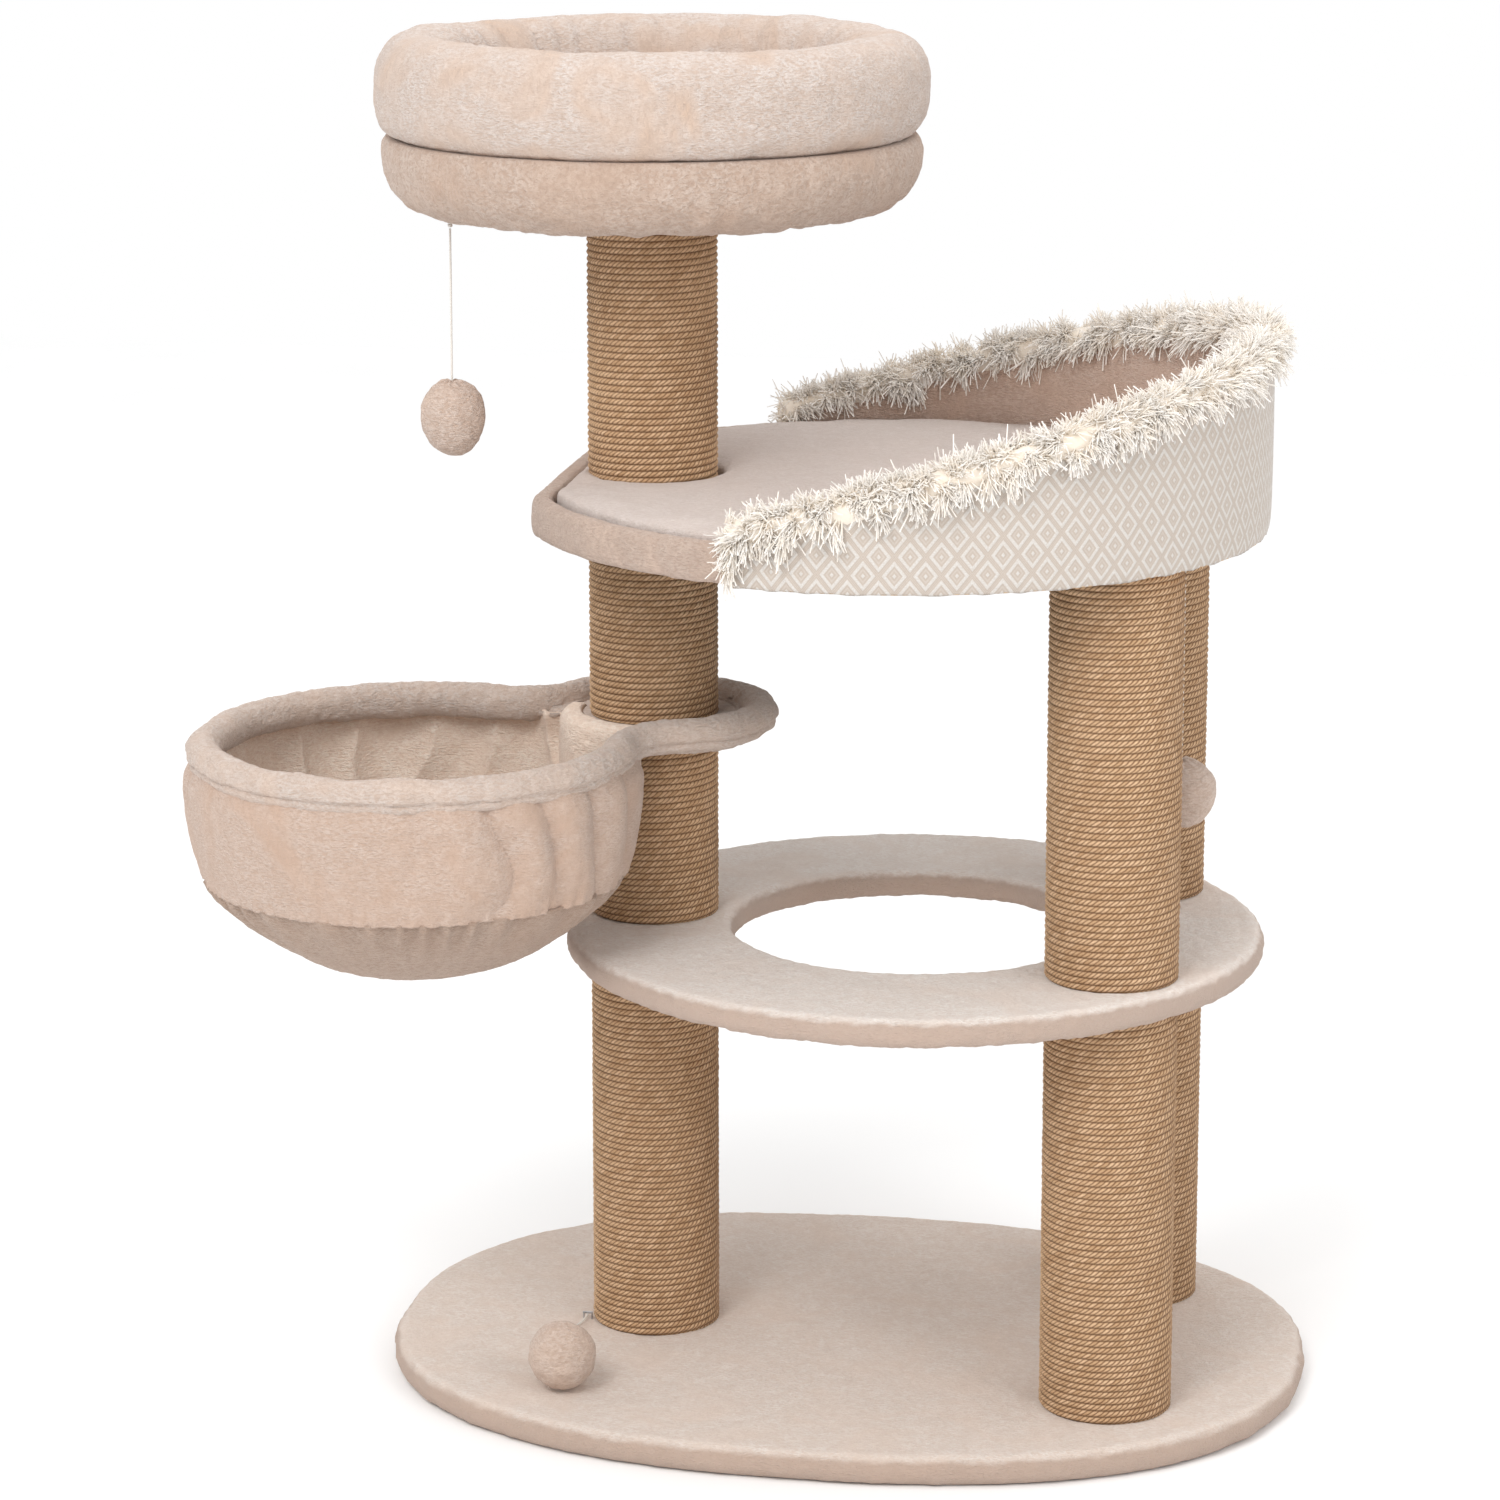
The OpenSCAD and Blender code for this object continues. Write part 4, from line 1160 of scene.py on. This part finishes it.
def make_lip():
    """The padded edge across the straight entrance, from one end of the wall to the other."""
    count = 420
    turn = np.linspace(WALL_TURN + WALL_HALF - 0.012, WALL_TURN - WALL_HALF + TURN + 0.012, count)
    chord = ENTRANCE / np.maximum(-np.cos(turn), 0.2)
    outer = soft_least(np.full(count, WALL_RADIUS), chord, 8 * MM)
    low, high = LIP_LOW[2], LIP_HIGH[2]
    half_width, half_height = 11 * MM, (high - low) / 2
    ring = angles(64)
    bulge = 2 / 3.2
    radius = outer[:, None] - half_width + (half_width - 0.6 * MM) * squared(np.cos(ring), bulge)[None, :]
    z = (low + high) / 2 + (half_height - 0.6 * MM) * squared(np.sin(ring), bulge)[None, :]
    piece = skin("lounger_entrance_edge", spin(LOUNGER, radius, turn[:, None], z))
    push_out(piece, plush_height(0.7, 0.9, seed=85))
    fit_out(piece, lip_plush, "plush", "lounger_lip")


def copy_of(node, name):
    """A new object with its own copy of a CAD node's mesh."""
    return add_object(name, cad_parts[node].data.copy())


def hold_within(co, centre, limit):
    """Pulls points back to within limit of an upright axis."""
    reach = np.linalg.norm(co[:, :2] - centre, axis=1)
    keep = np.minimum(1, limit / np.maximum(reach, 1e-6))
    co[:, :2] = centre + (co[:, :2] - centre) * keep[:, None]


def make_seat():
    """The lounger's seat pad."""
    piece = copy_of("lounger_pad", "lounger_seat_pad")
    inflate(piece, 6 * MM, 4 * MM)
    co = vertices(piece)
    co[:, 2] = np.minimum(co[:, 2], PAD_HIGH[2] + 4 * MM)
    co[:, 2] = np.maximum(co[:, 2], SEAT_Z)
    hold_within(co, LOUNGER, LINING_RADIUS - 3.5 * MM)
    set_vertices(piece, co)
    fluff = plush_height(0.6, 1.2, (1.6, 1, 1), 87)
    push_out(piece, lambda points: fluff(points) * smooth(SEAT_Z, SEAT_Z + 6 * MM, points[:, 2]))
    fit_out(piece, seat_plush, "plush", "lounger_pad")


def strands(name, roots, directions, lengths, seed, thick=0.7 * MM):
    """Tapered three-sided yarns, flat-shaded, that curve down under their own weight."""
    random = np.random.default_rng(seed)
    count, rings = len(roots), 3
    t = np.linspace(0, 1, rings)[None, :, None]
    curl = random.normal(0, 0.24, (count, 1, 3))
    fall = np.array([0, 0, -0.42])[None, None, :] * random.uniform(0.5, 1.3, (count, 1, 1))
    line = roots[:, None] + lengths[:, None, None] * (directions[:, None] * t + (curl + fall) * t ** 2)
    ahead = directions / np.linalg.norm(directions, axis=1)[:, None]
    side = np.cross(ahead, random.normal(size=(count, 3)))
    side /= np.linalg.norm(side, axis=1)[:, None]
    other = np.cross(ahead, side)
    radius = thick * (1.1 - 0.3 * t) * random.uniform(0.75, 1.25, (count, 1, 1))
    points = np.empty((count, rings, 3, 3))
    for k, angle in enumerate(angles(3)):
        points[:, :, k] = line + radius * (math.cos(angle) * side[:, None] + math.sin(angle) * other[:, None])
    base = (np.arange(count) * rings * 3)[:, None]
    quads = []
    for r in range(rings - 1):
        for k in range(3):
            n = (k + 1) % 3
            quads.append(base + np.array([r * 3 + k, r * 3 + n, (r + 1) * 3 + n, (r + 1) * 3 + k]))
    ends = [base + np.array([2, 1, 0]), base + (rings - 1) * 3 + np.array([0, 1, 2])]
    piece = mesh_piece(name, points, np.concatenate(quads), np.concatenate(ends))
    piece.data.polygons.foreach_set("use_smooth", np.zeros(len(piece.data.polygons), bool))
    along = piece.data.attributes.new("along", "FLOAT", "POINT")
    share = np.broadcast_to(np.linspace(0, 1, rings)[None, :, None], (count, rings, 3))
    along.data.foreach_set("value", share.ravel().astype(np.float32))
    return piece


FRINGE_HALF_WIDTH = 13 * MM
FRINGE_HALF_HEIGHT = 14 * MM
TUFT_YARNS = 30
YARN_LENGTH = 16 * MM
END_HANG = 34 * MM
GOLDEN_STEP = 0.6180


def fringe_place(turn, lean):
    """A point on the fringe's padded core and its outward direction; lean 0 is up and positive is outward."""
    radius = (LINING_RADIUS + WALL_RADIUS) / 2 + FRINGE_HALF_WIDTH * np.sin(lean)
    points = spin(LOUNGER, radius, turn, 0.0)
    points[..., 2] = wall_top(points) - 5 * MM + FRINGE_HALF_HEIGHT * np.cos(lean)
    out = np.stack([np.cos(turn) * np.sin(lean), np.sin(turn) * np.sin(lean), np.cos(lean)], -1)
    return points, out


def make_fringe():
    """The shaggy strip over the wall's top edge: a padded backing, and tufts that each lean their own way."""
    yarn = fringe_yarn("fringe_yarn")
    turn = wall_angles(500, 0.012)
    ring = angles(40)
    grid = np.array([fringe_place(np.full(40, a), ring)[0] for a in turn])
    backing = skin("fringe_backing", grid)
    along = backing.data.attributes.new("along", "FLOAT", "POINT")
    along.data.foreach_set("value", np.full(len(backing.data.vertices), 0.15, np.float32))
    push_out(backing, plush_height(1.6, 1.0, seed=91))
    fit_out(backing, yarn, "fringe", "lounger_fringe")
    random = np.random.default_rng(7)
    first, last = WALL_TURN - WALL_HALF - 0.02, WALL_TURN + WALL_HALF + 0.02
    for name, low, high, tufts in (("fringe_outside", -0.1, 2.1, 450), ("fringe_inside", -1.9, 0.2, 430)):
        count = tufts * TUFT_YARNS
        share = (np.arange(tufts) * GOLDEN_STEP + random.uniform(0, 0.01, tufts)) % 1
        at = np.repeat(first + (last - first) * share, TUFT_YARNS) + random.normal(0, 0.007, count)
        lean = np.repeat(random.uniform(low, high, tufts), TUFT_YARNS) + random.normal(0, 0.13, count)
        roots, out = fringe_place(at, lean)
        aim = np.repeat(random.normal(0, 0.40, (tufts, 3)), TUFT_YARNS, axis=0)
        directions = out + aim + random.normal(0, 0.25, (count, 3))
        directions /= np.linalg.norm(directions, axis=1)[:, None]
        lengths = YARN_LENGTH * np.repeat(random.uniform(0.75, 1.2, tufts), TUFT_YARNS)
        lengths *= random.uniform(0.85, 1.1, count)
        end = np.minimum(np.abs(at - first), np.abs(at - last))
        roots[:, 2] -= END_HANG * smooth(0.055, 0.02, end) * random.uniform(0, 1, count)
        lengths *= 1 + 0.2 * smooth(0.12, 0.0, end)
        piece = strands(name, roots - out * 2 * MM, directions, lengths, 101 + count)
        fit_out(piece, yarn, "fringe")


# ---------- bed ----------

bed_plush = plush("bed_plush", (217, 207, 201), (194, 172, 157),
                  brushed=(206, 179, 158), patchy=0.95)
band_plush = plush("bed_band_plush", (198, 181, 169), (173, 149, 133),
                   brushed=(184, 156, 136), lay=(1, 1, 1.4), patchy=0.6)


def make_bed_base():
    """The bed's padded lower band and underside, closed on top under the cushion."""
    around = 560
    turn = angles(around)[None, :]
    low, high = BED_LOW[2], BED_HIGH[2]
    radius = (BED_HIGH - BED_LOW)[0] / 2
    floor_radius, rise = 0.200, 50 * MM
    edge = radius - 2 * MM
    rows = [spin(LEFT_POST, r, turn, low + 0.5 * MM) for r in np.linspace(4 * MM, floor_radius, 40)]
    for a in np.radians(np.linspace(0, 90, 26))[1:]:
        rows.append(spin(LEFT_POST, floor_radius + (edge - floor_radius) * math.sin(a), turn,
                         low + 0.5 * MM + rise * (1 - math.cos(a))))
    for share in np.linspace(0, 1, 10)[1:]:
        z = low + rise + (high - low - rise) * share
        rows.append(spin(LEFT_POST, edge - 5 * MM * share ** 3, turn, z))
    for r in np.linspace(radius - 12 * MM, 3 * MM, 10):
        rows.append(spin(LEFT_POST, r, turn, high + 0.2 * MM))
    piece = skin("bed_lower_band", np.concatenate(rows))
    fluff = plush_height(1.2, 1.0, (1, 1, 1.3), 111)

    def height(points):
        reach = np.linalg.norm(points[:, :2] - LEFT_POST, axis=1)
        outside = smooth(floor_radius - 60 * MM, floor_radius, reach)
        under = smooth(high + 1 * MM, high - 4 * MM, points[:, 2])
        shag = 2.0 * MM * lumps(points, (0.014, 0.014, 0.03), 113)
        return (fluff(points) + shag) * outside * under
    push_out(piece, height)
    fit_out(piece, band_plush, "plush", "bed_base")


def make_bolster():
    """The stuffed ring: swollen, uneven along its crest, gathered down its inner side."""
    middle_radius, half_width = 0.211, 0.046
    low, high = BOLSTER_LOW[2], BOLSTER_HIGH[2]
    half_height = 0.5625 * (high - low)
    centre_z = high - half_height
    shrink = 5 * MM
    ring = angles(72)
    bulge = 2 / 2.6
    wide = middle_radius + (half_width - shrink) * squared(np.cos(ring), bulge)
    tall = centre_z + (half_height - shrink) * squared(np.sin(ring), bulge)
    tall = np.maximum(tall, low)
    turn = angles(260)
    sway = 3.0 * MM * lumps(spin((0, 0), 0.4, turn, 0.0), 0.13, 121, 2)
    z = tall[None, :] + sway[:, None] * smooth(centre_z - 10 * MM, high, tall)[None, :]
    piece = skin("bed_stuffed_ring", spin(LEFT_POST, wide[None, :], turn[:, None], z), join=True)
    inflate(piece, 5.5 * MM, 5 * MM)
    fluff = plush_height(1.0, 1.4, (1.3, 1, 1), 123)

    def height(points):
        flat = points[:, :2] - LEFT_POST
        reach = np.linalg.norm(flat, axis=1)
        turn_at = np.arctan2(flat[:, 1], flat[:, 0])
        inner = smooth(middle_radius + 2 * MM, middle_radius - 30 * MM, reach)
        lines = turn_at * 19 + 1.6 * np.sin(turn_at * 3) + 1.2 * lumps(points, 0.05, 125)
        gathers = inner * 5 * MM * (np.abs(np.sin(lines)) ** 0.6 - 0.75)
        dents = 2.0 * MM * lumps(points, (0.06, 0.06, 0.05), 127)
        above = smooth(low, low + 8 * MM, points[:, 2])
        return (fluff(points) + gathers + dents) * above
    push_out(piece, height)
    co = vertices(piece)
    co[:, 2] = np.maximum(co[:, 2], low + 0.3 * MM)
    set_vertices(piece, co)
    fit_out(piece, bed_plush, "plush", "bed_bolster")


def make_cushion():
    """The loose round cushion inside the bed."""
    piece = copy_of("bed_cushion", "bed_loose_cushion")
    low = corners("bed_cushion")[0][2]
    centre, radius = round_place("bed_cushion")
    inflate(piece, 5 * MM, 6 * MM)
    co = vertices(piece)
    hold_within(co, centre, radius + 0.5 * MM)
    co[:, 2] = np.maximum(co[:, 2], low)
    set_vertices(piece, co)
    fluff = plush_height(0.8, 1.2, seed=131)
    push_out(piece, lambda points: fluff(points) * smooth(low, low + 8 * MM, points[:, 2]))
    fit_out(piece, seat_plush, "plush", "bed_cushion", body="cushion")


# ---------- CAD pieces that keep their own shape ----------

def paint_frame():
    """Materials for the boards, tubes, plugs and steel that stay as they are."""
    paints = {"board": board("chipboard"), "card": cardboard("paper_tube"), "steel": steel("zinc_steel"),
              "plug": plug_wood("turned_pine"), "felt": felt("felt_underlay")}
    slots = {
        "board": ("base_board", "shelf_board", "collar_board", "lounger_board", "lounger_wall", "bed_board"),
        "card": [f"{post}_tube_{k + 1}" for post, count in POSTS for k in range(count)],
        "steel": ("base_bolts", "base_washers", "plug_inserts", "joining_studs", "basket_frame",
                  "lounger_bolts", "bed_bolt", "toy_staples"),
        "plug": ("left_plugs", "front_plugs", "back_plugs"),
        "felt": ("base_underlay", "lounger_underlay"),
    }
    for slot, nodes in slots.items():
        for node in nodes:
            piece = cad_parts[node]
            piece.data.materials.clear()
            piece.data.materials.append(paints[slot])


make_base()
make_shelf()
make_collar()
make_ropes()
make_rim()
make_bowl()
make_neck()
make_tongue()
make_outer_cloth()
make_lining()
make_lip()
make_seat()
make_fringe()
make_bed_base()
make_bolster()
make_cushion()
paint_frame()
